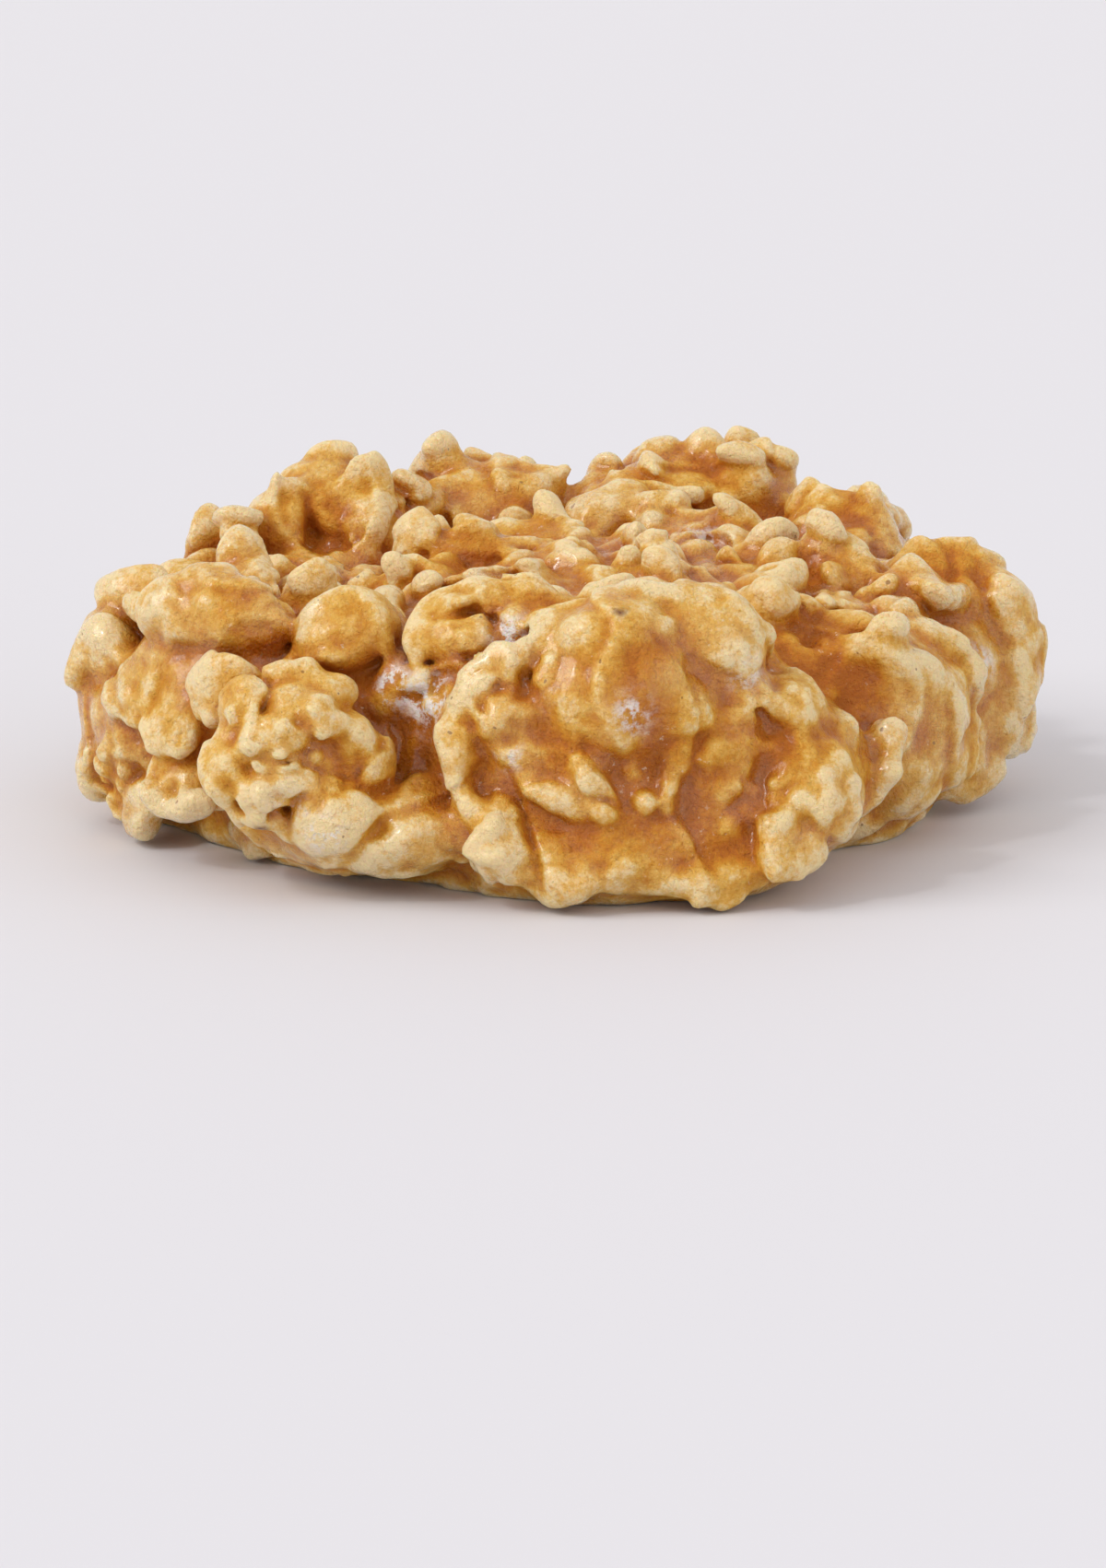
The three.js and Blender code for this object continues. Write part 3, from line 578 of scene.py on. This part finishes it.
class Field:
    """Signed distances in mm on a grid, under 0 inside, with a tint that goes with each flake."""

    def __init__(self, low, high, step):
        self.low = np.array(low, np.float32)
        self.step = step
        count = [int(math.ceil((b - a) / step)) + 1 for a, b in zip(low, high)]
        self.distance = np.full(count, FAR, np.float32)
        self.tint = np.zeros(count, np.float32)
        self.axes = [self.low[i] + step * np.arange(count[i], dtype=np.float32) for i in range(3)]

    def block(self, low, high):
        """The cells between two corners: their slices and their coordinates as open arrays."""
        cells = []
        for i in range(3):
            first = max(0, int((low[i] - self.low[i]) / self.step))
            last = min(len(self.axes[i]), int((high[i] - self.low[i]) / self.step) + 2)
            cells.append(slice(first, max(first, last)))
        x, y, z = (self.axes[i][cells[i]] for i in range(3))
        return tuple(cells), x[:, None, None], y[None, :, None], z[None, None, :]

    def block_along(self, centre, reach, axes):
        """The cells within reach of a place, and their coordinates along three axes from there."""
        cells, x, y, z = self.block([c - reach for c in centre], [c + reach for c in centre])
        x, y, z = x - centre[0], y - centre[1], z - centre[2]
        u, v, w = (x * a[0] + y * a[1] + z * a[2] for a in axes)
        return cells, u, v, w

    def join(self, cells, distance, fillet, tint=0.0):
        """Adds a shape, with a fillet of fudge where it meets what is there."""
        old = self.distance[cells]
        share = np.clip(0.5 + 0.5 * (old - distance) / fillet, 0, 1)
        self.distance[cells] = old + (distance - old) * share - fillet * share * (1 - share)
        self.tint[cells] += (tint - self.tint[cells]) * share

    def carve(self, cells, distance, fillet):
        """Takes a shape out, with a rounded edge."""
        old = self.distance[cells]
        share = np.clip(0.5 - 0.5 * (old + distance) / fillet, 0, 1)
        self.distance[cells] = old + (-distance - old) * share + fillet * share * (1 - share)

    def filled(self):
        """How much of each cell is fudge, from 0 to 1, with a soft skin."""
        return np.clip(0.5 - self.distance / (1.5 * self.step), 0, 1)


def ellipsoid(x, y, z, centre, half):
    """About the distance to an ellipsoid with its axes along X, Y and Z."""
    u, v, w = ((c - m) / h for c, m, h in zip((x, y, z), centre, half))
    size = np.sqrt(u * u + v * v + w * w) + TINY
    slope = np.sqrt((u / half[0]) ** 2 + (v / half[1]) ** 2 + (w / half[2]) ** 2) + TINY
    return (size * (size - 1) / slope).astype(np.float32)


def add_mounds(field, mounds, fillet, carved=False):
    """Mounds of fudge, or hollows."""
    put = field.carve if carved else field.join
    for mound in mounds.values():
        centre, half = np.array(mound[:3]), np.array(mound[3:])
        reach = half + fillet + SPARE
        cells, x, y, z = field.block(centre - reach, centre + reach)
        put(cells, ellipsoid(x, y, z, centre, half), fillet)


def add_cake(field):
    cells, x, y, z = field.block(FIELD_LOW, FIELD_HIGH)
    reach = np.hypot(x, y) - cake_radius(np.arctan2(y, x))
    side = np.maximum(reach + CAKE_EDGE, 0)
    top = np.maximum(z - CAKE_HEIGHT + CAKE_EDGE, 0)
    inside = np.minimum(np.maximum(reach, z - CAKE_HEIGHT) + CAKE_EDGE, 0)
    distance = np.hypot(side, top) + inside - CAKE_EDGE
    field.join(cells, distance.astype(np.float32), CAKE_FILLET)


def curve_points(points, spacing):
    """Points along a smooth curve (Catmull-Rom) through the given ones."""
    knots = np.array([points[0], *points, points[-1]], float)
    made = []
    for i in range(len(points) - 1):
        before, start, end, after = knots[i : i + 4]
        count = max(1, round(math.dist(start, end) / spacing))
        for t in np.arange(count) / count:
            bend = (2 * before - 5 * start + 4 * end - after) * t * t
            twist = (3 * start - before - 3 * end + after) * t**3
            made.append(0.5 * (2 * start + (end - before) * t + bend + twist))
    return np.array(made + [knots[-1]])


def add_rim(field, rim, draw, fillet, carved=False):
    """A rounded rim of uneven thickness along a curve, thinner at both ends, or a groove."""
    radius, *points = rim
    path = curve_points(points, RIM_SPACING)
    along = np.linspace(0, 1, len(path))
    taper = np.minimum(1, RIM_END_SHARE + RIM_END_RISE * np.minimum(along, 1 - along))
    beads = 1
    for height, pace in RIM_BEADS:
        beads = beads + height * np.sin(len(path) * pace * along + draw.spread(0, WAVE_START))
    reach = radius * RIM_ROOM + fillet + SPARE
    cells, x, y, z = field.block(path.min(0) - reach, path.max(0) + reach)
    distance = np.full(field.distance[cells].shape, 1.5 * FAR, np.float32)
    for (px, py, pz), size in zip(path, radius * taper * beads):
        near = np.sqrt((x - px) ** 2 + (y - py) ** 2 + (z - pz) ** 2) - size
        np.minimum(distance, near.astype(np.float32), out=distance)
    tint = draw.spread(0, 1)
    if carved:
        field.carve(cells, distance, fillet)
    else:
        field.join(cells, distance, fillet, tint)


def add_flake(field, flake, draw):
    """One coated flake: an oval pad with a full, ragged edge, a cup and a twist."""
    x0, y0, z0, length, width, thickness, faces, rises, turn = flake
    reach = length * FLAKE_ROOM + FLAKE_FILLET + SPARE
    cells, u, v, w = field.block_along((x0, y0, z0), reach, flake_axes(faces, rises, turn))
    uneven = abs(x0 * 3.1 + y0 * 1.7 + z0 * 2.3) % 6.28  # a different start for each place
    angle = np.arctan2(v / width, u / length)
    outline = 1
    for count, height, turned in FLAKE_WAVES:
        outline = outline + height * np.sin(count * angle + turned * uneven)
    for count, least, most in FLAKE_NICKS:
        outline = outline + draw.spread(least, most) * np.sin(count * angle + draw.spread(0, WAVE_START))
    radius = np.hypot(u, v) + TINY
    rim = outline / (2 * np.hypot(u / length, v / width) / radius + TINY)
    share = np.clip(radius / rim, 0, 1.4)
    cup = draw.spread(*FLAKE_CUP) * (thickness / FLAKE_THICKNESS) * share * share
    twist = draw.spread(-FLAKE_TWIST, FLAKE_TWIST) * (2 * u / length) * (2 * v / width)
    half = thickness / 2 * (FLAKE_EDGE_SHARE + (1 - FLAKE_EDGE_SHARE) * np.clip(1 - share * share, 0, 1))
    soft = FLAKE_SOFT * FLAKE_EDGE_SHARE * thickness / 2
    side = radius - rim + soft
    face = np.abs(w - cup - twist) - half + soft
    inside = np.minimum(np.maximum(side, face), 0)
    distance = inside + np.hypot(np.maximum(side, 0), np.maximum(face, 0)) - soft
    field.join(cells, distance.astype(np.float32), FLAKE_FILLET, draw.spread(-1, 1))


def skin_points(field, spacing, lowest, seed, centre=(0, 0, 0), reach=EVERYWHERE):
    """Points spread over the skin near a place, no two nearer than spacing, and the way out at each."""
    cells, _, _, _ = field.block(np.array(centre) - reach, np.array(centre) + reach)
    starts = np.array([max(SLOPE_REACH, cell.start) for cell in cells])
    stops = [min(cell.stop, count - SLOPE_REACH) for cell, count in zip(cells, field.distance.shape)]
    part = tuple(slice(start, stop) for start, stop in zip(starts, stops))
    near = np.argwhere(np.abs(field.distance[part]) < field.step * SKIN_BAND) + starts
    near = near[np.random.default_rng(seed).permutation(len(near))][:MOST_SKIN_CELLS]
    taken = {}
    kept = []
    for cell in near:
        point = field.low + field.step * cell
        if point[2] < lowest or math.dist(point, centre) > reach:
            continue
        box = tuple((point // spacing).astype(int))
        around = [taken.get((box[0] + i, box[1] + j, box[2] + k)) for i, j, k in NEIGHBOURS]
        if any(other is not None and math.dist(other, point) < spacing for other in around):
            continue
        taken[box] = point
        kept.append(cell)
    kept = np.array(kept)
    outs = []
    for away in SLOPE_REACH * np.eye(3, dtype=int):
        outs.append(field.distance[tuple((kept + away).T)] - field.distance[tuple((kept - away).T)])
    outs = np.stack(outs, -1)
    outs /= np.linalg.norm(outs, axis=1, keepdims=True) + TINY
    return field.low + field.step * kept, outs


def add_bit(field, centre, half, leans, fillet):
    """A small oval bit of oat, its half sizes along it, across it and out of its flat side."""
    reach = half[0] + fillet + SPARE
    cells, u, v, w = field.block_along(centre, reach, flake_axes(*leans))
    field.join(cells, ellipsoid(u, v, w, (0, 0, 0), half), fillet, BIT_TINT)


def add_bits(field):
    """Small torn bits of oat, coated and half sunk, mostly where the flakes leave hollows."""
    around = blurred(field, field.filled(), CLOSED_REACH)
    points, outs = skin_points(field, BITS["spacing"], BITS["lowest"], BITS["seed"])
    rng = np.random.default_rng(BITS["seed"] + 1)
    for point, out, closed in zip(points, outs, sampled(field, around, points)):
        share, bulk, lean = rng.random(), rng.random(), rng.normal(0, 0.35, 3)
        if closed < BITS["closed"] + BITS["more"] * share:
            continue
        out = tilted(out, lean)
        length = BITS["length"] * (0.6 + 0.8 * bulk * bulk)
        half = length / 2 * np.array([1, 0.6 + 0.35 * rng.random(), 0.45 + 0.2 * rng.random()])
        leans = (*leans_of(out), 180 * rng.random())
        add_bit(field, point - out * BITS["sink"] * half[2], half, leans, BITS["fillet"])


def add_top_bits(field):
    """Small oats that stand up out of the flat of the top, behind the front lobe."""
    points, outs = skin_points(field, TOP_BITS["spacing"], TOP_BITS["lowest"], TOP_BITS["seed"])
    rng = np.random.default_rng(TOP_BITS["seed"] + 1)
    for point, out in zip(points, outs):
        lean, bulk, flat, turn = rng.normal(0, 0.5, 3), rng.random(), rng.random(), 180 * rng.random()
        if out[2] < TOP_BITS["level"] or point[1] < TOP_BITS["front"]:
            continue
        out = tilted(out, lean)
        half = (1.3 + 0.9 * bulk) * np.array([1, 0.6 + 0.3 * flat, 0.5 + 0.15 * flat])
        add_bit(field, point + out * TOP_BITS["lift"], half, (*leans_of(out), turn), TOP_BITS["fillet"])


def add_crumbs(field, patch, seed):
    """Small rounded bits close together in a patch, fewer near its edge."""
    centre, reach = np.array(patch[:3]), patch[3]
    points, outs = skin_points(field, PATCH["spacing"], PATCH["lowest"], seed, centre, reach)
    rng = np.random.default_rng(seed)
    for point, out in zip(points, outs):
        lean, bulk, flat, turn = rng.normal(0, 0.3, 3), rng.random(), rng.random(), 180 * rng.random()
        if rng.random() > 1.25 - math.dist(point, centre) / reach:
            continue
        out = tilted(out, lean)
        half = PATCH["size"] * (0.3 + 0.25 * bulk) * np.array([1, 0.65 + 0.3 * flat, 0.6])
        leans = (*leans_of(out), turn)
        add_bit(field, point - out * PATCH["sink"] * half[2], half, leans, PATCH["fillet"])


def b_spline(t):
    """Weights of the four nearest lattice points at the fractions t between the middle two."""
    before = (1 - t) ** 3 / 6
    start = (3 * t**3 - 6 * t**2 + 4) / 6
    end = (-3 * t**3 + 3 * t**2 + 3 * t + 1) / 6
    return np.stack([before, start, end, t**3 / 6])


def smooth_noise(field, size, seed):
    """Soft random lumps about as wide as size, from -1 to 1 or so, over the whole field."""
    weights, counts = [], []
    for axis in field.axes:
        place = (axis - axis[0]) / size
        cell = place.astype(int)
        count = cell[-1] + 4
        weight = np.zeros((len(axis), count), np.float32)
        for offset, share in enumerate(b_spline(place - cell)):
            weight[np.arange(len(axis)), cell + offset] = share
        weights.append(weight)
        counts.append(count)
    lattice = np.random.default_rng(seed).uniform(-1, 1, counts).astype(np.float32) * NOISE_GAIN
    for axis, weight in enumerate(weights):
        lattice = np.moveaxis(np.tensordot(weight, lattice, axes=(1, axis)), 0, axis)
    return lattice


def ledges(field, height, size, seed):
    """Shallow overlapping ledges, each a long rise and a short fall."""
    steps = LEDGE_PACE * smooth_noise(field, size, seed)
    part = steps - np.floor(steps)
    fall = np.clip((part - LEDGE_END) / LEDGE_FALL, 0, 1)
    return height * (part * (1 - fall * fall * (3 - 2 * fall)) - LEDGE_MIDDLE)


def creases(field, height, size, seed):
    """Soft swellings with sharp creases between them."""
    return height * (np.abs(smooth_noise(field, size, seed)) - CREASE_MIDDLE)


def blurred(field, cells, reach):
    """A soft blur of the grid's values: three passes of a running mean, reach in mm."""
    radius = max(1, round(reach / field.step))
    span = 2 * radius + 1
    for _ in range(3):
        for axis in range(3):
            wide = [(radius + 1, radius) if i == axis else (0, 0) for i in range(3)]
            total = np.cumsum(np.pad(cells, wide, mode="edge"), axis=axis, dtype=np.float64)
            high = [slice(span, None) if i == axis else slice(None) for i in range(3)]
            low = [slice(0, -span) if i == axis else slice(None) for i in range(3)]
            cells = ((total[tuple(high)] - total[tuple(low)]) / span).astype(np.float32)
    return cells


def sampled(field, cells, points):
    """The grid's values at points in mm, by trilinear interpolation."""
    place = (points - field.low) / field.step
    corner = np.clip(place.astype(int), 0, np.array(cells.shape) - 2)
    part = np.clip(place - corner, 0, 1)
    total = np.zeros(len(points), np.float32)
    for i, j, k in np.ndindex(2, 2, 2):
        weight = np.abs(1 - i - part[:, 0]) * np.abs(1 - j - part[:, 1]) * np.abs(1 - k - part[:, 2])
        total += weight * cells[corner[:, 0] + i, corner[:, 1] + j, corner[:, 2] + k]
    return total


def warp(field, amount, size, seed):
    """Bends the skin by soft random shifts, so that no outline stays clean."""
    near = np.abs(field.distance) < amount * 3 + 1
    cells = np.argwhere(near)
    shift = np.stack([smooth_noise(field, size, seed + i)[near] for i in range(3)], -1)
    points = field.low + field.step * cells + amount * shift
    bent = sampled(field, field.distance, points)
    tint = sampled(field, field.tint, points)
    field.distance[near] = bent
    field.tint[near] = tint


def add_relief(field):
    """Torn crumbs, then warps, ledges, creases and grain over the whole skin."""
    warp(field, *FIRST_WARP)
    for number, patch in enumerate(CRUMBS.values()):
        add_crumbs(field, patch, PATCH["seed"] + number)
    warp(field, *LAST_WARP)
    field.distance -= ledges(field, *LEDGES)
    for height, size, seed in CREASES:
        field.distance -= creases(field, height, size, seed)
    patchy = np.clip(0.5 + 0.6 * smooth_noise(field, *GRAIN_PATCHES), 0.1, 1.2)
    for height, size, seed in GRAIN:
        field.distance -= creases(field, height * patchy, size, seed)


def cookie_field():
    field = Field(FIELD_LOW, FIELD_HIGH, STEP)
    add_cake(field)
    add_mounds(field, MOUNDS, MOUND_FILLET)
    add_mounds(field, HOLLOWS, HOLLOW_FILLET, carved=True)
    add_mounds(field, LUMPS, LUMP_FILLET)
    draw = Draw(SEED + 1)
    for flake in all_flakes():
        add_flake(field, flake, draw)
    for rim in RIMS.values():
        add_rim(field, rim, draw, RIM_FILLET)
    for groove in GROOVES.values():
        add_rim(field, groove, draw, GROOVE_FILLET, carved=True)
    add_mounds(field, PITS, PIT_FILLET, carved=True)
    add_top_bits(field)
    add_bits(field)
    add_relief(field)
    # flat on the floor, with a small rounded edge
    cells, _, _, z = field.block(FIELD_LOW, FIELD_HIGH)
    field.carve(cells, z, FOOT_FILLET)
    return field


# ------------ the mesh and its values

# Blurs of the filled cells, kept on the mesh: how far each reaches in mm, its values in a hollow and on an
# edge that stands out, and how much it counts in the coat's shade, which paints shade in the hollows and
# light on the raised edges.
BLURS = {
    "crisp": (0.3, 0.62, 0.36, 0.36),
    "fine": (0.7, 0.64, 0.34, 0.36),
    "wide": (2.2, 0.68, 0.3, 0.3),
}
SPECK_AMOUNT = 1.3  # over 1, so that a speck is dark right to its edge


def add_object(name, data):
    made = bpy.data.objects.new(name, data)
    bpy.context.scene.collection.objects.link(made)
    return made


def mesh_object(name, points, faces):
    """An object with a smooth mesh, from points in mm and faces that all have as many corners."""
    mesh = bpy.data.meshes.new(name)
    mesh.vertices.add(len(points))
    mesh.vertices.foreach_set("co", (points * MM).astype(np.float32).ravel())
    corners = faces.shape[1]
    mesh.loops.add(faces.size)
    mesh.loops.foreach_set("vertex_index", faces.astype(np.int32).ravel())
    mesh.polygons.add(len(faces))
    mesh.polygons.foreach_set("loop_start", np.arange(0, faces.size, corners, dtype=np.int32))
    mesh.update(calc_edges=True)
    mesh.validate()
    mesh.shade_smooth()
    return add_object(name, mesh)


def thinned(piece, most):
    """The piece with its mesh brought under a number of triangles."""
    triangles = sum(len(p.vertices) - 2 for p in piece.data.polygons)
    if triangles <= most:
        return piece
    modifier = piece.modifiers.new("thin", "DECIMATE")
    modifier.ratio = most / triangles
    graph = bpy.context.evaluated_depsgraph_get()
    made = bpy.data.meshes.new_from_object(piece.evaluated_get(graph))
    piece.modifiers.clear()
    piece.data = made
    made.shade_smooth()
    return piece


def vertices_of(piece):
    """The mesh's points in mm."""
    flat = np.zeros(len(piece.data.vertices) * 3, np.float32)
    piece.data.vertices.foreach_get("co", flat)
    return flat.reshape(-1, 3) / MM


def spots(points, places):
    """At each point, the sum of soft round spots, each with a place, a reach and an amount."""
    total = np.zeros(len(points))
    for x, y, z, reach, amount in places:
        away = np.sum((points - (x, y, z)) ** 2, axis=1) / reach**2
        total += amount * np.exp(-away)
    return total


def store(piece, name, values):
    attribute = piece.data.attributes.new(name, "FLOAT", "POINT")
    attribute.data.foreach_set("value", values.astype(np.float32))


def make_cookie():
    field = cookie_field()
    volume = openvdb.FloatGrid(FAR)
    volume.copyFromArray(field.distance)
    points, quads = volume.convertToQuads(0.0)
    piece = mesh_object("oat_cookie", points * field.step + field.low, quads)
    piece = thinned(piece, MOST_TRIANGLES)
    points = vertices_of(piece)
    filled = field.filled()
    for name, (reach, *_) in BLURS.items():
        store(piece, name, sampled(field, blurred(field, filled, reach), points))
    store(piece, "tint", sampled(field, field.tint, points))
    # Placed tones hold painted light and shade besides the coat's own thickness.
    store(piece, "tone_and_painted_light", spots(points, TONES_AND_PAINTED_LIGHT.values()))
    # Blooms hold painted glints and sheen besides the sugar bloom.
    store(piece, "bloom_and_painted_glint", spots(points, [(*bloom_and_painted_glint, 1) for bloom_and_painted_glint in BLOOMS_AND_PAINTED_GLINTS.values()]))
    specks = spots(points, [(*speck, SPECK_AMOUNT) for speck in SPECKS.values()])
    store(piece, "speck", np.minimum(1, specks))
    return piece


# ------------ materials

# The coat's display colours, from the deep hollows at 0 to the edges that stand out at 1: the darker, more
# orange hollows are partly painted shade and the paler raised edges partly painted light, besides the coat's
# own thickness.
COAT_AND_PAINTED_SHADE_COLOURS = (
    (0.0, (186, 104, 10)),
    (0.22, (202, 124, 18)),
    (0.5, (216, 150, 38)),
    (0.75, (232, 182, 84)),
    (1.0, (247, 220, 166)),
)
DUST_COLOUR = (246, 228, 200)
# The whitish colour of sugar bloom and of painted glints.
BLOOM_AND_PAINTED_GLINT_COLOUR = (246, 238, 234)
BRAN_COLOUR = (120, 62, 16)
HUSK_COLOUR = (112, 54, 8)
FLOOR_COLOUR = (216, 215, 221)
ROOM_COLOUR = (248, 246, 245)

# What else the coat's shade is summed from, besides the blurs that paint shade in hollows and light on
# edges: noises, each with its scale, detail, roughness and share, then the shares of the placed tones, which
# are partly painted light and shade, and of the flakes' own tints, and a last small step darker.
MOTTLES = ((260, 3, 0.6, 0.8), (720, 4, 0.7, 0.75), (2200, 3, 0.75, 0.7))
TONE_AND_PAINTED_LIGHT_SHARE = 0.32
TINT_SHARE = 0.08
SHADE_STEP = -0.02
BLOOM_AND_PAINTED_GLINT_GAIN = 1.4
DUST_SHARE = 0.55
BRAN_SHARE = 0.6
ROUGH_DEPTH = 0.9 * MM  # how deep the two bumps of the skin are
GRAIN_DEPTH = 0.3 * MM
COAT = {
    "Specular IOR Level": 0.35,
    "Subsurface Weight": 0.45,
    "Subsurface Radius": (1.0, 0.6, 0.25),
    "Subsurface Scale": 0.8 * MM,
    "IOR": 1.5,
    "Coat Roughness": 0.16,
}


def linear(red, green, blue):
    """A display colour, 0 to 255, as the renderer's linear colour."""
    parts = [c / 255 for c in (red, green, blue)]
    return tuple(c / 12.92 if c <= 0.04045 else ((c + 0.055) / 1.055) ** 2.4 for c in parts) + (1.0,)


class Nodes:
    """Short calls for building one material's nodes, each value a number, a colour or a node's output."""

    def __init__(self, name):
        self.material = bpy.data.materials.new(name)
        self.material.use_nodes = True
        self.tree = self.material.node_tree
        self.shader = self.tree.nodes["Principled BSDF"]

    def put(self, values, sockets):
        for name, value in values.items():
            if isinstance(value, (int, float, tuple)):
                sockets[name].default_value = value
            else:
                self.tree.links.new(value, sockets[name])

    def new(self, kind, values):
        node = self.tree.nodes.new("ShaderNode" + kind)
        self.put(values, node.inputs)
        return node

    def attribute(self, name):
        node = self.new("Attribute", {})
        node.attribute_name = name
        return node.outputs["Fac"]

    def maths(self, operation, a, b, clamp=False):
        node = self.new("Math", {0: a, 1: b})
        node.operation = operation
        node.use_clamp = clamp
        return node.outputs[0]

    def times(self, a, b, clamp=False):
        return self.maths("MULTIPLY", a, b, clamp)

    def total(self, *terms):
        """The sum of values, each given with its share."""
        total, *parts = (self.times(value, share) for value, share in terms)
        for part in parts:
            total = self.maths("ADD", total, part)
        return total

    def noise(self, scale, detail, roughness):
        place = self.new("TexCoord", {}).outputs["Object"]
        values = {"Vector": place, "Scale": scale, "Detail": detail, "Roughness": roughness}
        return self.new("TexNoise", values).outputs["Fac"]

    def ramp(self, value, stops):
        node = self.new("ValToRGB", {"Fac": value})
        elements = node.color_ramp.elements
        while len(elements) < len(stops):
            elements.new(0.5)
        for element, (at, colour) in zip(elements, stops):
            element.position = at
            element.color = linear(*colour)
        return node.outputs["Color"]

    def remap(self, value, low, high, to_low=0.0, to_high=1.0):
        """A smooth step from one pair of numbers to another."""
        values = {"Value": value, "From Min": low, "From Max": high, "To Min": to_low, "To Max": to_high}
        node = self.new("MapRange", values)
        node.interpolation_type = "SMOOTHSTEP"
        return node.outputs["Result"]

    def mix(self, share, under, colour):
        """The colours under it, covered by a share of one display colour."""
        node = self.new("Mix", {})
        node.data_type = "RGBA"
        self.put({"Factor": share, 6: under, 7: linear(*colour)}, node.inputs)
        return node.outputs[2]

    def bump(self, height, distance, **normal):
        return self.new("Bump", {"Height": height, "Distance": distance, **normal}).outputs["Normal"]


def coat_and_painted_shade(n):
    """0 in the deep hollows, as painted shade, and where the coat lies thick; 1 on the edges that stand out,
    partly as painted light.
    """
    terms = [
        (n.remap(n.attribute(name), hollow, edge), share)
        for name, (_, hollow, edge, share) in BLURS.items()
    ]
    for scale, detail, roughness, share in MOTTLES:
        terms.append((n.maths("SUBTRACT", n.noise(scale, detail, roughness), 0.5), share))
    # Placed tones: partly the coat's thickness, partly painted light and shade and a painted shadow.
    terms.append((n.attribute("tone_and_painted_light"), TONE_AND_PAINTED_LIGHT_SHARE))
    terms.append((n.attribute("tint"), TINT_SHARE))
    return n.maths("ADD", n.total(*terms), SHADE_STEP, clamp=True)


def coat_colour(n):
    # The ramp paints shade in the hollows and light on the raised edges, besides the coat's own thickness.
    colour = n.ramp(coat_and_painted_shade(n), COAT_AND_PAINTED_SHADE_COLOURS)
    dust = n.times(n.remap(n.noise(1700, 3, 0.7), 0.62, 0.72), n.remap(n.noise(190, 2, 0.6), 0.5, 0.66))
    colour = n.mix(n.times(dust, DUST_SHARE), colour, DUST_COLOUR)
    # Sugar bloom with painted highlights: wet glints and sheen painted into the colour, in streaks.
    streaks = n.remap(n.noise(900, 4, 0.7), 0.44, 0.6)
    bloom_and_painted_glint = n.times(n.times(n.attribute("bloom_and_painted_glint"), BLOOM_AND_PAINTED_GLINT_GAIN), streaks, clamp=True)
    colour = n.mix(bloom_and_painted_glint, colour, BLOOM_AND_PAINTED_GLINT_COLOUR)
    bran = n.remap(n.noise(1100, 1, 0.5), 0.775, 0.8)
    colour = n.mix(n.times(bran, BRAN_SHARE), colour, BRAN_COLOUR)
    return n.mix(n.attribute("speck"), colour, HUSK_COLOUR)


def fudge_material():
    n = Nodes("fudge_and_oats")
    shader = n.shader.inputs
    n.put(COAT, shader)
    grain = n.noise(2600, 3, 0.6)
    gloss = n.total((n.noise(170, 2, 0.5), 0.7), (grain, 0.3))
    rough = n.bump(n.noise(620, 6, 0.7), ROUGH_DEPTH)
    values = {
        "Base Color": coat_colour(n),
        "Coat Weight": n.remap(gloss, 0.58, 0.42, 0.1, 0.9),
        "Roughness": n.remap(gloss, 0.35, 0.62, 0.2, 0.6),
        "Normal": n.bump(grain, GRAIN_DEPTH, Normal=rough),
    }
    n.put(values, shader)
    return n.material


def floor_material():
    n = Nodes("pale_floor")
    n.put({"Base Color": linear(*FLOOR_COLOUR), "Roughness": 0.7}, n.shader.inputs)
    return n.material


# ------------ camera, light and floor

CAMERA_PLACE = (0.0, -390.5 * MM, 97.6 * MM)
CAMERA_DOWN = 13.858  # degrees below the horizon
CAMERA_LENS = 130.3
FLOOR_WIDTH = 8  # metres
ROOM_STRENGTH = 0.87

# Wide soft lights: the way the light travels, its strength, its colour and how wide it is in degrees.
SUNS = {
    "key": ((0.78, 0.2, -0.62), 1.2, (1, 0.98, 0.95), 35),
    "glint": ((0.55, 0.35, -0.75), 0.32, (1, 1, 1), 6),
    "fill": ((-0.6, 0.55, -0.5), 0.35, (1, 0.96, 0.93), 60),
}


def add_camera():
    data = bpy.data.cameras.new("camera")
    data.lens = CAMERA_LENS
    data.sensor_width = 36
    data.clip_start = 0.01
    camera = add_object("camera", data)
    camera.location = CAMERA_PLACE
    camera.rotation_euler = Euler((math.radians(90 - CAMERA_DOWN), 0, 0))
    bpy.context.scene.camera = camera


def add_sun(name, aim, strength, colour, softness):
    data = bpy.data.lights.new(name, "SUN")
    data.energy = strength
    data.color = colour
    data.angle = math.radians(softness)
    add_object(name, data).rotation_euler = Vector(aim).to_track_quat("-Z", "Y").to_euler()


def add_floor():
    bpy.ops.mesh.primitive_plane_add(size=FLOOR_WIDTH, location=(0, 0, 0))
    floor = bpy.context.object
    floor.name = "floor"
    floor.data.materials.append(floor_material())


def add_room_light():
    world = bpy.data.worlds.new("room")
    world.use_nodes = True
    back = world.node_tree.nodes["Background"]
    back.inputs["Color"].default_value = linear(*ROOM_COLOUR)
    back.inputs["Strength"].default_value = ROOM_STRENGTH
    bpy.context.scene.world = world
    bpy.context.scene.view_settings.view_transform = "Standard"


cookie = make_cookie()
cookie.data.materials.append(fudge_material())
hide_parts("cookie")
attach(cookie, "root")

add_camera()
add_floor()
add_room_light()
for sun_name, sun in SUNS.items():
    add_sun(sun_name, *sun)
